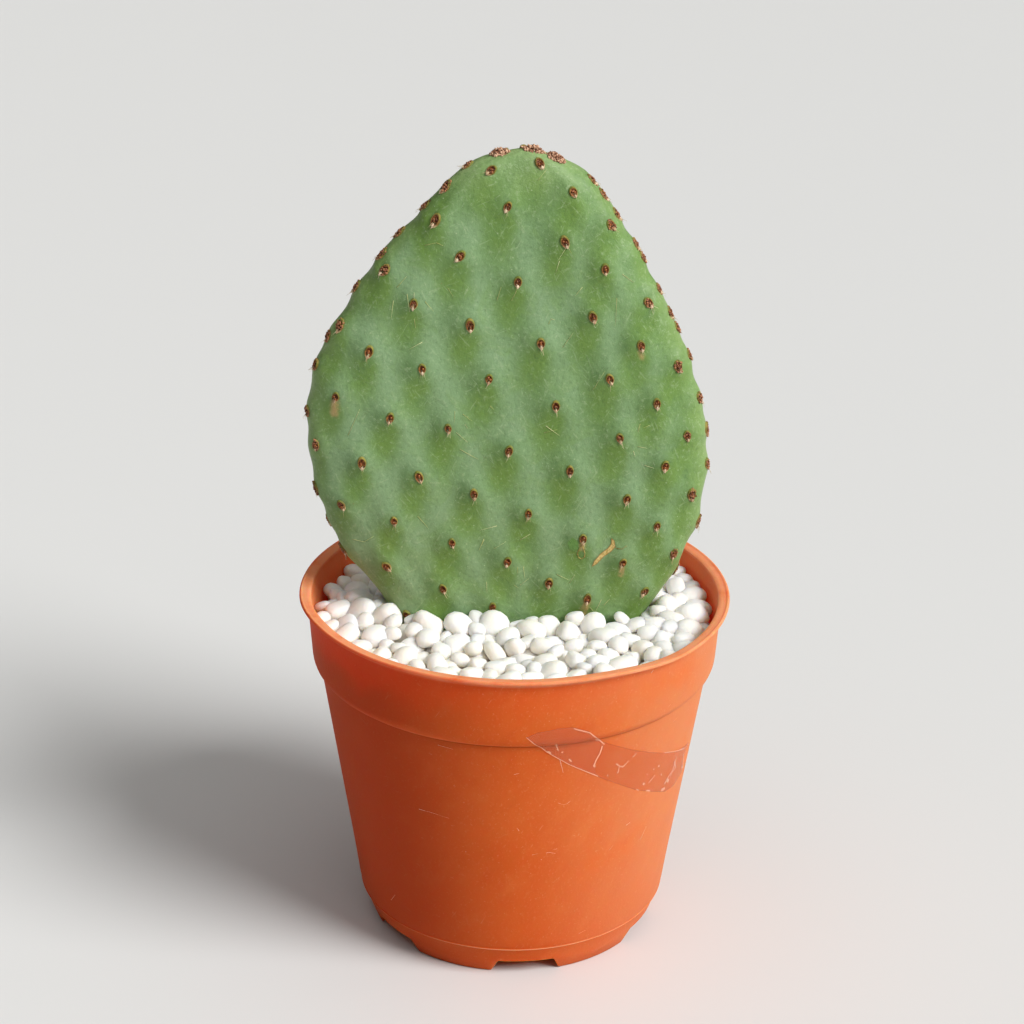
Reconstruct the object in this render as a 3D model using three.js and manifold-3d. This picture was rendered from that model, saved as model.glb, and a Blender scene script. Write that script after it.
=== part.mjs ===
// Potted paddle cactus: one upright prickly pear pad in a moulded plastic nursery pot,
// standing in potting mix under a layer of white pebbles.
// Millimetres, +Z up, origin on the ground under the middle of the pot, front towards -Y.

import * as THREE from 'three';
import { mergeVertices } from 'three/addons/utils/BufferGeometryUtils.js';
import Module from 'manifold-3d';

const wasm = await Module();
wasm.setup();

// Driving dimensions. Each profile point is [radius, height], from the bottom up.

const gap = 0.3; // clearance between neighbouring pieces
const snugGap = 0.4; // clearance round the bumpy pad

const pot = {
  segments: 48,
  outer: [[33.3, 0], [36.3, 7.9], [37.1, 12], [38.1, 19], [45.5, 66.6], [47.2, 68.8], [48.2, 82.5]],
  lip: [[49.7, 82.5], [50, 82.8], [50, 83.1], [49.7, 83.4], [49.2, 83.25], [47.9, 83.2]],
  bore: [[33, 4.9], [35.2, 8], [37.1, 19.1], [44.5, 66.8], [46.2, 69], [47.3, 82.6]],
  floor: { underside: 3.7, top: 4.9 },
  foot: { count: 6, firstAngle: -24, innerRadius: 31.7, draft: 0.6, gapTopWidth: 13, gapFlare: 1.2 },
  drain: { count: 6, radius: 3.5, ringRadius: 22, sides: 12 },
};

const mix = { edgeHeight: 71.2, crownHeight: 73.2 };

const bed = {
  edgeHeight: 75.2,
  crownHeight: 78,
  pebbles: 104,
  spread: 4.46, // sunflower spacing of the pebbles
  halfSize: [3.9, 3.4, 2.6],
  sizeScatter: 0.14,
  wander: 0.5,
  sunk: 0.3, // how far a stone's middle sits below the top of the layer under it
  heightScatter: 0.5,
  tilt: 15,
  seed: 7,
};

// The pad's two edges, [x, z] from the tip down to the buried base.
const pad = {
  leftEdge: [
    [0.9, 189.3], [-9.2, 185.4], [-19.6, 176], [-33.4, 158.3], [-43.6, 138], [-46.2, 124],
    [-45, 110], [-39.8, 96], [-30.2, 81], [-22.5, 69.5], [-12, 63.5], [0, 61.5],
  ],
  rightEdge: [
    [0.9, 189.3], [10.4, 185.8], [19, 176.8], [29.2, 159.5], [38.8, 138], [42.2, 124],
    [42.2, 108], [39.2, 96], [32, 81], [24.5, 69.5], [13, 63.5], [0, 61.5],
  ],
  halfThickness: 6.6,
  fullness: 5, // how square the section is towards the rim
  rings: 22,
  sides: 40,
};

// Areoles climb the pad in one spiral, each turned by the golden angle from the last.
const spiral = {
  turn: 137.5078,
  firstAngle: 25.2,
  firstHeight: 179.3,
  rise: 0.754,
  from: -14,
  to: 130,
  lowest: 84.5,
  highest: 188.6,
  // The pad's uneven growth skews the spiral, by degrees of turn and by millimetres of height.
  skew: { byHeight: 6, bySide: 3, byBoth: 23.5 },
  shift: { everywhere: 1.4, bySide: 2.4, byBoth: -3.1, atRims: -4.3 },
};

const areole = {
  moundHeight: 0.8,
  moundRadius: 4.4,
  cushion: [1.15, 1.65, 1.1],
  glochid: { length: 3, radius: 0.34, sides: 3, sunk: 0.6, leastLean: 52, mostLean: 78, fan: 60 },
  seed: 3,
};

const roots = {
  count: 5, length: 30, radius: 1.9, tipRadius: 0.5, sides: 6,
  startHeight: 66, spread: 24, fan: 68, stagger: 14,
};

// A torn scrap of clear tape across the step in the wall, outlined as it is seen square on.
const tape = {
  facing: 30, // degrees round from the front
  outline: [
    [-21.3, 69.9], [-14.6, 71.8], [-11.2, 71.7], [-7.8, 70], [-3.4, 65.6], [5.8, 60.5],
    [15.1, 55.9], [23.1, 52.3], [28.4, 51], [26.7, 47.4], [27.8, 43], [23.2, 42],
    [19, 42.7], [8.5, 48.2], [1.8, 52.6], [-10.9, 60.9], [-15.9, 64.8], [-18.9, 67.6],
  ],
  thickness: 0.6,
  reach: 60,
};

// Small helpers

const radians = THREE.MathUtils.degToRad;

function makeRandom(seed) {
  let state = seed;
  return () => {
    state = (state * 48271) % 2147483647;
    return state / 2147483647;
  };
}

function toSolid(geometry) {
  geometry.deleteAttribute('normal');
  geometry.deleteAttribute('uv');
  const merged = mergeVertices(geometry, 1e-4);
  const index = Array.from(merged.index.array);
  const kept = [];
  for (let i = 0; i < index.length; i += 3) {
    const [a, b, c] = index.slice(i, i + 3);
    if (a !== b && b !== c && c !== a) kept.push(a, b, c);
  }
  return new wasm.Manifold(new wasm.Mesh({
    numProp: 3,
    vertProperties: new Float32Array(merged.attributes.position.array),
    triVerts: new Uint32Array(kept),
  }));
}

function toGeometry(solid) {
  const { vertProperties, triVerts } = solid.getMesh();
  const geometry = new THREE.BufferGeometry();
  geometry.setAttribute('position', new THREE.BufferAttribute(vertProperties, 3));
  geometry.setIndex(new THREE.BufferAttribute(triVerts, 1));
  geometry.computeVertexNormals();
  return geometry;
}

// Revolves [radius, height] points about +Z. They run up the outside and end on the axis.
function revolve(points, segments = pot.segments) {
  const profile = points.map(([radius, height]) => new THREE.Vector2(radius, height));
  return new THREE.LatheGeometry(profile, segments).rotateX(Math.PI / 2);
}

// Radius at a height on a [radius, height] profile.
function radiusAt(profile, height) {
  const next = profile.findIndex(([, level]) => level >= height);
  if (next < 1) return profile.at(next)[0];
  const [lowRadius, low] = profile[next - 1];
  const [highRadius, high] = profile[next];
  return THREE.MathUtils.mapLinear(height, low, high, lowRadius, highRadius);
}

// The part of a profile above a height, shifted sideways, starting exactly at that height.
function profileAbove(profile, height, shift) {
  const above = profile.filter(([, level]) => level > height);
  return [[radiusAt(profile, height), height], ...above].map(([r, z]) => [r + shift, z]);
}

function largestPiece(solid) {
  const pieces = solid.decompose();
  return pieces.reduce((best, piece) => (piece.volume() > best.volume() ? piece : best));
}

// The pot: outer wall, rolled lip and bore in one revolved profile, then the foot ring is cut
// into separate feet and the floor is drilled.

function footGap() {
  const { underside } = pot.floor;
  const { gapTopWidth, gapFlare, innerRadius } = pot.foot;
  const bottomWidth = gapTopWidth * gapFlare;
  const shape = new THREE.Shape([
    new THREE.Vector2(-bottomWidth / 2, -gap),
    new THREE.Vector2(bottomWidth / 2, -gap),
    new THREE.Vector2(gapTopWidth / 2, underside),
    new THREE.Vector2(-gapTopWidth / 2, underside),
  ]);
  const cutter = new THREE.ExtrudeGeometry(shape, { depth: innerRadius / 2, bevelEnabled: false });
  return cutter.rotateX(Math.PI / 2).translate(0, -innerRadius * 0.96, 0);
}

function potGeometry() {
  const { underside, top } = pot.floor;
  const { innerRadius, draft } = pot.foot;
  let solid = toSolid(revolve([
    [0, underside], [innerRadius - draft, underside], [innerRadius, 0],
    ...pot.outer, ...pot.lip, ...pot.bore.toReversed(), [0, top],
  ]));
  for (let i = 0; i < pot.foot.count; i++) {
    const angle = pot.foot.firstAngle + (i + 0.5) * 360 / pot.foot.count;
    solid = solid.subtract(toSolid(footGap().rotateZ(radians(angle))));
  }
  const { radius, sides, ringRadius } = pot.drain;
  for (let i = 0; i < pot.drain.count; i++) {
    const hole = new THREE.CylinderGeometry(radius, radius, 2 * top, sides);
    hole.rotateX(Math.PI / 2).translate(ringRadius, 0, top);
    solid = solid.subtract(toSolid(hole.rotateZ(2 * Math.PI * i / pot.drain.count)));
  }
  return toGeometry(solid);
}

// The pad: level rings between its two edges, each with flat faces and a blunt rim.

function edgeFinder(points) {
  const curve = new THREE.SplineCurve(points.map(([x, z]) => new THREE.Vector2(x, z)));
  const samples = curve.getPoints(points.length * 24).toReversed();
  const profile = samples.map((point) => [point.x, point.y]);
  return (height) => radiusAt(profile, height);
}

const leftEdgeAt = edgeFinder(pad.leftEdge);
const rightEdgeAt = edgeFinder(pad.rightEdge);
const padTop = pad.leftEdge[0][1];
const padBase = pad.leftEdge.at(-1)[1];
const padMiddle = (padTop + padBase) / 2;
const padHalfHeight = (padTop - padBase) / 2;

// A point on the smooth pad. Angle 0 is the middle of the front face, 90 degrees the right rim.
function padPoint(height, angle) {
  const level = THREE.MathUtils.clamp(height, padBase, padTop);
  const left = leftEdgeAt(level);
  const right = rightEdgeAt(level);
  const climb = Math.abs(level - padMiddle) / padHalfHeight;
  const across = Math.sin(angle);
  const blunt = (t) => Math.sqrt(Math.max(0, 1 - t ** pad.fullness));
  const depth = pad.halfThickness * blunt(climb) * blunt(Math.abs(across));
  const x = (left + right) / 2 + (right - left) / 2 * across;
  return new THREE.Vector3(x, -Math.sign(Math.cos(angle)) * depth, level);
}

function padNormal(height, angle) {
  const turn = 0.02;
  const climb = 0.3;
  const level = THREE.MathUtils.clamp(height, padBase + 1, padTop - 1);
  const around = padPoint(level, angle + turn).sub(padPoint(level, angle - turn));
  const up = padPoint(level + climb, angle).sub(padPoint(level - climb, angle));
  return around.cross(up).normalize();
}

// Where the areoles sit on the pad.
function areolePlaces() {
  const { skew, shift } = spiral;
  const places = [];
  for (let i = spiral.from; i <= spiral.to; i++) {
    const turned = radians(spiral.firstAngle + spiral.turn * i);
    const side = Math.sin(turned);
    const level = spiral.firstHeight - spiral.rise * i;
    const climb = (level - padMiddle) / padHalfHeight;
    const both = climb * side;
    const extraTurn = skew.byHeight * climb + skew.bySide * side + skew.byBoth * both;
    const extraHeight = shift.everywhere + shift.bySide * side + shift.byBoth * both;
    const angle = turned + radians(extraTurn);
    const height = Math.min(level + extraHeight + shift.atRims * side ** 2, spiral.highest);
    places.push({ height, point: padPoint(height, angle), normal: padNormal(height, angle) });
  }
  return places;
}

const areoles = areolePlaces();

function moundHeightAt(point) {
  let height = 0;
  for (const place of areoles) {
    const away = point.distanceTo(place.point) / areole.moundRadius;
    height += areole.moundHeight * Math.exp(-away * away);
  }
  return height;
}

// The bare pad with its low mounds, grown outwards by a clearance where it cuts its own hole.
function padBody(growth) {
  const positions = [];
  const addPoint = (height, angle, normal) => {
    const point = padPoint(height, angle);
    point.addScaledVector(normal, growth + moundHeightAt(point));
    positions.push(point.x, point.y, point.z);
  };
  addPoint(padBase, 0, new THREE.Vector3(0, 0, -1));
  for (let ring = 1; ring < pad.rings; ring++) {
    const height = padMiddle - padHalfHeight * Math.cos(Math.PI * ring / pad.rings);
    for (let side = 0; side < pad.sides; side++) {
      const angle = 2 * Math.PI * side / pad.sides;
      addPoint(height, angle, padNormal(height, angle));
    }
  }
  addPoint(padTop, 0, new THREE.Vector3(0, 0, 1));

  const index = [];
  const last = positions.length / 3 - 1;
  const at = (ring, side) => 1 + (ring - 1) * pad.sides + side % pad.sides;
  for (let side = 0; side < pad.sides; side++) {
    index.push(0, at(1, side + 1), at(1, side));
    index.push(last, at(pad.rings - 1, side), at(pad.rings - 1, side + 1));
    for (let ring = 1; ring < pad.rings - 1; ring++) {
      index.push(at(ring, side), at(ring, side + 1), at(ring + 1, side + 1));
      index.push(at(ring, side), at(ring + 1, side + 1), at(ring + 1, side));
    }
  }
  const geometry = new THREE.BufferGeometry();
  geometry.setAttribute('position', new THREE.Float32BufferAttribute(positions, 3));
  geometry.setIndex(index);
  return toSolid(geometry);
}

// A felt cushion with one short glochid standing out of it and leaning up.
function areoleSolid(place, random) {
  const { length, radius, sides, sunk, leastLean, mostLean, fan } = areole.glochid;
  const upright = new THREE.Vector3(0, 0, 1);
  const across = upright.clone().cross(place.normal).normalize();
  const along = place.normal.clone().cross(across);
  const frame = new THREE.Matrix4().makeBasis(across, along, place.normal);
  frame.setPosition(place.point.clone().addScaledVector(place.normal, areole.moundHeight));

  const cushion = new THREE.OctahedronGeometry(1, 0).scale(...areole.cushion);
  const glochid = new THREE.ConeGeometry(radius, length, sides);
  const lean = THREE.MathUtils.lerp(leastLean, mostLean, random());
  glochid.translate(0, length / 2 - sunk, 0).rotateX(radians(lean));
  glochid.rotateZ(radians(fan * (random() - 0.5)));
  return [toSolid(cushion.applyMatrix4(frame)), toSolid(glochid.applyMatrix4(frame))];
}

function rootSolids(growth) {
  const solids = [];
  for (let i = 0; i < roots.count; i++) {
    const share = i / (roots.count - 1) - 0.5;
    const [top, tip] = [roots.radius + growth, roots.tipRadius + growth];
    const root = new THREE.CylinderGeometry(tip, top, roots.length + 2 * growth, roots.sides);
    root.translate(0, roots.length / 2, 0).rotateX(-Math.PI / 2);
    root.rotateY(radians(-roots.fan * share));
    root.rotateX(radians(i % 2 ? roots.stagger : -roots.stagger));
    root.translate(roots.spread * share, 0, roots.startHeight);
    solids.push(toSolid(root));
  }
  return solids;
}

function padGeometry() {
  const random = makeRandom(areole.seed);
  const pieces = [padBody(0), ...rootSolids(0)];
  for (const place of areoles) {
    if (place.height > spiral.lowest) pieces.push(...areoleSolid(place, random));
  }
  return toGeometry(wasm.Manifold.union(pieces));
}

const plantHole = wasm.Manifold.union([padBody(snugGap), ...rootSolids(gap)]);

// The potting mix fills the bore up to just under the pebbles, a little crowned.

function mixGeometry() {
  const floor = pot.floor.top + gap;
  const wall = profileAbove(pot.bore, floor, -gap).filter(([, z]) => z < mix.edgeHeight);
  const edge = [radiusAt(pot.bore, mix.edgeHeight) - gap, mix.edgeHeight];
  const body = toSolid(revolve([[0, floor], ...wall, edge, [0, mix.crownHeight]]));
  return toGeometry(body.subtract(plantHole));
}

// The pebbles: a thin packed layer with tumbled stones standing out of its top.

function bedCore() {
  const low = mix.edgeHeight + gap;
  const bottomEdge = [radiusAt(pot.bore, low) - gap, low];
  const topEdge = [radiusAt(pot.bore, bed.edgeHeight) - gap, bed.edgeHeight];
  const profile = [[0, mix.crownHeight + gap], bottomEdge, topEdge, [0, bed.crownHeight]];
  return toSolid(revolve(profile));
}

function pebbleSolid(x, y, random) {
  const pebble = new THREE.IcosahedronGeometry(1, 0);
  const scatter = () => 1 + bed.sizeScatter * (2 * random() - 1);
  pebble.scale(...bed.halfSize.map((half) => half * scatter()));
  pebble.rotateX(radians(bed.tilt) * (2 * random() - 1)).rotateZ(2 * Math.PI * random());
  const away = Math.hypot(x, y) / radiusAt(pot.bore, bed.edgeHeight);
  const layer = THREE.MathUtils.lerp(bed.crownHeight, bed.edgeHeight, away);
  pebble.translate(x, y, layer - bed.sunk + bed.heightScatter * (2 * random() - 1));
  return toSolid(pebble);
}

function pebblesGeometry() {
  const random = makeRandom(bed.seed);
  const wallRadius = radiusAt(pot.bore, bed.edgeHeight) - gap;
  const stones = [bedCore()];
  for (let i = 0; i < bed.pebbles; i++) {
    const distance = Math.min(bed.spread * Math.sqrt(i + 0.5), wallRadius - bed.halfSize[1]);
    const angle = radians(spiral.turn) * i;
    const x = distance * Math.cos(angle) + bed.wander * (2 * random() - 1);
    const y = distance * Math.sin(angle) + bed.wander * (2 * random() - 1);
    const beside = x < leftEdgeAt(bed.crownHeight) || x > rightEdgeAt(bed.crownHeight);
    if (beside || Math.abs(y) > pad.halfThickness) stones.push(pebbleSolid(x, y, random));
  }
  const wall = profileAbove(pot.bore, mix.edgeHeight, -gap);
  const room = toSolid(revolve([[0, mix.edgeHeight], ...wall, [0, wall.at(-1)[1]]]));
  const layer = wasm.Manifold.union(stones).intersect(room).subtract(plantHole);
  return toGeometry(largestPiece(layer));
}

// The tape scrap: a thin skin over the wall, trimmed to the torn outline.

function tapeGeometry() {
  const low = Math.min(...tape.outline.map(([, z]) => z)) - tape.thickness;
  const inner = profileAbove(pot.outer, low, gap);
  const outer = profileAbove(pot.outer, low, gap + tape.thickness);
  const skin = toSolid(revolve([...outer, ...inner.toReversed(), outer[0]]));
  const shape = new THREE.Shape(tape.outline.map(([u, z]) => new THREE.Vector2(u, z)));
  const prism = new THREE.ExtrudeGeometry(shape, { depth: tape.reach, bevelEnabled: false });
  prism.rotateX(Math.PI / 2).rotateZ(radians(tape.facing));
  return toGeometry(largestPiece(skin.intersect(toSolid(prism))));
}

// The finished object

const plant = new THREE.Group();

function addPiece(name, geometry, colour, roughness) {
  const material = new THREE.MeshStandardMaterial({ color: colour, roughness, metalness: 0 });
  const mesh = new THREE.Mesh(geometry, material);
  mesh.name = name;
  plant.add(mesh);
}

addPiece('pot', potGeometry(), 0xd9622b, 0.42);
addPiece('potting_mix', mixGeometry(), 0x3d2c20, 0.95);
addPiece('pebbles', pebblesGeometry(), 0xf0ece4, 0.6);
addPiece('cactus_pad', padGeometry(), 0x6f9470, 0.55);
addPiece('tape_scrap', tapeGeometry(), 0xe6c8b4, 0.2);

export default plant;
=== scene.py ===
import math
import random

import bmesh
import bpy
import numpy as np
from mathutils import Matrix, Vector, noise
from mathutils.bvhtree import BVHTree


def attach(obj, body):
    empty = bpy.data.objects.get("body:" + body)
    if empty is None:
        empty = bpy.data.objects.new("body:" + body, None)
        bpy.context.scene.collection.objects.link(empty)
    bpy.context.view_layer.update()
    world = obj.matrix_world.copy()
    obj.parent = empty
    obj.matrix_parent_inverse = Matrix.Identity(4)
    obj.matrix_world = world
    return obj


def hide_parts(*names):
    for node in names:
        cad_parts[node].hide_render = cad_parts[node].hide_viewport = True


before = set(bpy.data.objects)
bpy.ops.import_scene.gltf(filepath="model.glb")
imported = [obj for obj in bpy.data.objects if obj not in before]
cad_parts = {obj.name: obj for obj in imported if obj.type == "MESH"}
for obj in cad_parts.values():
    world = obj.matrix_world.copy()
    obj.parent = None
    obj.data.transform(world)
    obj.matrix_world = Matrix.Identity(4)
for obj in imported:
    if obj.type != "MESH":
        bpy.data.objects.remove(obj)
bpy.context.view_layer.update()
mm = 0.001
print("frame loaded with", ", ".join(sorted(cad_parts)))


# Small helpers

def tone(red, green, blue):
    # a colour as it looks on screen, turned into the linear values that shaders use
    parts = [c / 255 for c in (red, green, blue)]
    linear = [p / 12.92 if p < 0.04 else ((p + 0.055) / 1.055) ** 2.4 for p in parts]
    return (*linear, 1)


def tones(look):
    return {key: tone(*value) for key, value in look.items()}


def asArray(points):
    return np.array([tuple(point) for point in points], float)


def addObject(name, mesh, materials):
    piece = bpy.data.objects.new(name, mesh)
    bpy.context.scene.collection.objects.link(piece)
    for material in materials:
        mesh.materials.append(material)
    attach(piece, "root")
    return piece


def finishMesh(bm, name, sharpAngle=None):
    # smooth shading, with a crease wherever two faces meet at more than the sharp angle
    for face in bm.faces:
        face.smooth = True
    if sharpAngle is not None:
        for edge in bm.edges:
            if len(edge.link_faces) == 2:
                edge.smooth = edge.calc_face_angle(0) < math.radians(sharpAngle)
    mesh = bpy.data.meshes.new(name)
    bm.to_mesh(mesh)
    bm.free()
    return mesh


def setAttribute(mesh, name, values):
    layer = mesh.attributes.new(name, "FLOAT", "POINT")
    layer.data.foreach_set("value", np.asarray(values, np.float32))


def addLevels(piece, levels):
    smoother = piece.modifiers.new("smoother", "SUBSURF")
    smoother.levels = levels
    smoother.render_levels = levels


def scatter(name, templates, placings, seed):
    # one mesh with a placed copy of a template for each placing, and a random "lot" value for each copy
    rng = random.Random(seed)
    bm = bmesh.new()
    marks = {}
    for placing in placings:
        template = rng.choice(templates)
        copy = template.copy()
        copy.transform(placing)
        bm.from_mesh(copy)
        bpy.data.meshes.remove(copy)
        size = len(template.vertices)
        marks.setdefault("lot", []).append(np.full(size, rng.random()))
        for key in template.get("marks", []):
            values = np.zeros(size, np.float32)
            template.attributes[key].data.foreach_get("value", values)
            marks.setdefault(key, []).append(values)
    mesh = finishMesh(bm, name)
    for key in list(mesh.attributes.keys()):
        if key in marks:
            mesh.attributes.remove(mesh.attributes[key])
    for key, values in marks.items():
        setAttribute(mesh, key, np.concatenate(values))
    return mesh


def addCopies(name, templates, placings, seed, material):
    return addObject(name, scatter(name, templates, placings, seed), [material])


def distanceTo(points, corners):
    # how far each point is from a line through the corners
    nearest = np.full(len(points), 1e9)
    corners = asArray(corners)
    for start, end in zip(corners, corners[1:]):
        line = end - start
        share = np.clip(((points - start) @ line) / (line @ line), 0, 1)
        nearest = np.minimum(nearest, np.linalg.norm(points - start - share[:, None] * line, axis=1))
    return nearest


def basis(across, along, outward, place):
    # a placing whose x, y and z axes are the three directions
    turned = Matrix((across, along, outward)).transposed().to_4x4()
    return Matrix.Translation(place) @ turned


# Materials

class Wire:
    # one socket of a finish, so that masks are written as sums
    def __init__(self, finish, socket):
        self.finish = finish
        self.socket = socket

    def maths(self, operation, first, second):
        return self.finish.node("ShaderNodeMath", {"operation": operation}, {0: first, 1: second})

    def __add__(self, other):
        return self.maths("ADD", self, other)

    def __radd__(self, other):
        return self.maths("ADD", other, self)

    def __sub__(self, other):
        return self.maths("SUBTRACT", self, other)

    def __rsub__(self, other):
        return self.maths("SUBTRACT", other, self)

    def __mul__(self, other):
        return self.maths("MULTIPLY", self, other)

    def __rmul__(self, other):
        return self.maths("MULTIPLY", other, self)


class Finish:
    # the nodes of one material
    def __init__(self, name):
        self.material = bpy.data.materials.new(name)
        self.material.use_nodes = True
        self.tree = self.material.node_tree
        self.tree.nodes.clear()
        self.place = self.node("ShaderNodeTexCoord", give="Object")

    def node(self, kind, settings=None, sockets=None, give=0):
        made = self.tree.nodes.new(kind)
        for name, value in (settings or {}).items():
            setattr(made, name, value)
        for name, value in (sockets or {}).items():
            if isinstance(value, Wire):
                self.tree.links.new(value.socket, made.inputs[name])
            else:
                made.inputs[name].default_value = value
        return Wire(self, made.outputs[give]) if len(made.outputs) else made

    def mix(self, mask, first, second):
        settings = {"data_type": "RGBA", "clamp_factor": True}
        return self.node("ShaderNodeMix", settings, {0: mask, 6: first, 7: second}, give=2)

    def stretch(self, scale, turn=(0, 0, 0)):
        # makes a pattern longer along the axes of a turned frame
        sockets = {"Vector": self.place, "Rotation": turn, "Scale": scale}
        return self.node("ShaderNodeMapping", {"vector_type": "TEXTURE"}, sockets)

    def mottle(self, size, detail=3, roughness=0.55, at=None, twist=0):
        # noise whose blotches are about size metres across
        sockets = {"Vector": at or self.place, "Scale": 1 / size, "Detail": detail}
        sockets.update({"Roughness": roughness, "Distortion": twist})
        return self.node("ShaderNodeTexNoise", {}, sockets)

    def cells(self, size, give="Distance"):
        sockets = {"Vector": self.place, "Scale": 1 / size}
        return self.node("ShaderNodeTexVoronoi", {}, sockets, give=give)

    def between(self, value, low, high):
        # 0 below low, 1 above high, and smooth in the middle; low may be the larger
        sockets = {"Value": value, "From Min": low, "From Max": high}
        return self.node("ShaderNodeMapRange", {"interpolation_type": "SMOOTHSTEP"}, sockets)

    def specks(self, size, radius, share):
        # small round dots, in a share of the cells
        near = self.between(self.cells(size), radius, radius * 0.6)
        chance = self.node("ShaderNodeSeparateColor", {}, {0: self.cells(size, give="Color")})
        return near * self.between(chance, share, share * 0.97)

    def read(self, name):
        return self.node("ShaderNodeAttribute", {"attribute_name": name}, give="Fac")

    def level(self):
        # height above the ground, in metres
        return self.node("ShaderNodeSeparateXYZ", {}, {0: self.place}, give="Z")

    def bump(self, height, depth):
        sockets = {"Height": height, "Distance": depth, "Strength": 1.0}
        return self.node("ShaderNodeBump", {}, sockets)

    def surface(self, sockets):
        skin = self.node("ShaderNodeBsdfPrincipled", {}, sockets)
        self.node("ShaderNodeOutputMaterial", {}, {"Surface": skin})
        return self.material


# Camera, at the photograph's viewpoint, found from the lip, the step and the feet of the pot

photoView = {
    "place": (-2.34, -577.0, 359.24),  # mm
    "yaw": 0.15,  # degrees
    "pitch": 23.955,
    "roll": 0.692,
    "lens": 96.54,
    "sensor": 36,
    "pixels": 1024,
}
middlePixel = photoView["pixels"] / 2
focalPixels = photoView["lens"] / photoView["sensor"] * photoView["pixels"]


def cameraAxes():
    yaw, pitch, roll = (math.radians(photoView[key]) for key in ("yaw", "pitch", "roll"))
    level = Vector((math.cos(yaw), -math.sin(yaw), 0))
    ahead = Vector((math.sin(yaw), math.cos(yaw), 0)) * math.cos(pitch)
    ahead.z = -math.sin(pitch)
    upright = level.cross(ahead)
    right = math.cos(roll) * level + math.sin(roll) * upright
    up = math.cos(roll) * upright - math.sin(roll) * level
    return right, up, ahead


def pixelRay(pixelX, pixelY):
    # where the view starts, in mm, and its direction through a pixel of the photograph
    right, up, ahead = cameraAxes()
    sideways = (pixelX - middlePixel) / focalPixels
    downwards = (pixelY - middlePixel) / focalPixels
    return Vector(photoView["place"]), ahead + right * sideways - up * downwards


def fromPixel(pixelX, pixelY, depth):
    # the point, in mm, that the pixel shows on the plane y = -depth
    start, ray = pixelRay(pixelX, pixelY)
    return start + ray * ((-depth - start.y) / ray.y)


def toPixels(points):
    # where the photograph shows points that are in mm
    right, up, ahead = (np.array(axis) for axis in cameraAxes())
    offset = points - np.array(photoView["place"])
    scale = focalPixels / (offset @ ahead)
    return middlePixel + scale * (offset @ right), middlePixel - scale * (offset @ up)


def makeCamera():
    right, up, ahead = cameraAxes()
    lens = bpy.data.cameras.new("camera")
    lens.lens = photoView["lens"]
    lens.sensor_width = photoView["sensor"]
    lens.clip_end = 20
    camera = bpy.data.objects.new("camera", lens)
    camera.matrix_world = basis(right, up, -ahead, Vector(photoView["place"]) * mm)
    bpy.context.scene.collection.objects.link(camera)
    bpy.context.scene.camera = camera


makeCamera()
print("camera placed")


# Floor and studio light

studio = {
    "floor": {"size": 12.0, "colour": (219, 220, 219), "cloud": (200, 200, 196)},
    "key": {"azimuth": 58, "height": 40, "softness": 30, "strength": 3.62, "colour": (1.0, 0.988, 0.98)},
    "top": {"azimuth": 20, "height": 80, "softness": 90, "strength": 1.15, "colour": (1.0, 0.985, 0.965)},
    "world": {"colour": (240, 240, 238), "strength": 0.03},
    "sky": {"colour": (218, 217, 212), "strength": 1.0},  # seen past the floor's far edge, gives no light
}


def makeFloor():
    bm = bmesh.new()
    bmesh.ops.create_grid(bm, x_segments=1, y_segments=1, size=studio["floor"]["size"] / 2)
    mesh = finishMesh(bm, "floor")
    floor = bpy.data.objects.new("floor", mesh)
    bpy.context.scene.collection.objects.link(floor)
    paint = Finish("floorPaint")
    plain, cloud = tone(*studio["floor"]["colour"]), tone(*studio["floor"]["cloud"])
    base = paint.mix(paint.mottle(0.05, detail=4) * 0.04, plain, cloud)
    mesh.materials.append(paint.surface({"Base Color": base, "Roughness": 0.55}))


def makeLight(name, settings):
    # a very large, soft light, far enough away to be even over the whole floor
    azimuth, height = math.radians(settings["azimuth"]), math.radians(settings["height"])
    outward = Vector((math.sin(azimuth), -math.cos(azimuth), 0)) * math.cos(height)
    outward.z = math.sin(height)
    lamp = bpy.data.lights.new(name, "SUN")
    lamp.angle = math.radians(settings["softness"])
    lamp.energy = settings["strength"]
    lamp.color = settings["colour"]
    light = bpy.data.objects.new(name, lamp)
    light.rotation_euler = outward.to_track_quat("Z", "Y").to_euler()
    bpy.context.scene.collection.objects.link(light)


def makeWorld():
    world = bpy.data.worlds.new("studio")
    world.use_nodes = True
    nodes, links = world.node_tree.nodes, world.node_tree.links
    faint = nodes["Background"]
    seen = nodes.new("ShaderNodeBackground")
    for background, key in ((faint, "world"), (seen, "sky")):
        background.inputs["Color"].default_value = tone(*studio[key]["colour"])
        background.inputs["Strength"].default_value = studio[key]["strength"]
    either = nodes.new("ShaderNodeMixShader")
    links.new(nodes.new("ShaderNodeLightPath").outputs["Is Camera Ray"], either.inputs["Fac"])
    links.new(faint.outputs["Background"], either.inputs[1])
    links.new(seen.outputs["Background"], either.inputs[2])
    links.new(either.outputs["Shader"], nodes["World Output"].inputs["Surface"])
    bpy.context.scene.world = world


makeFloor()
makeLight("keyLight", studio["key"])
makeLight("topLight", studio["top"])
makeWorld()
bpy.context.scene.view_settings.view_transform = "Standard"
print("floor and light ready")


# The pad's shape, as in the CAD model but with fuller shoulders: level rings between its two edges

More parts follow.
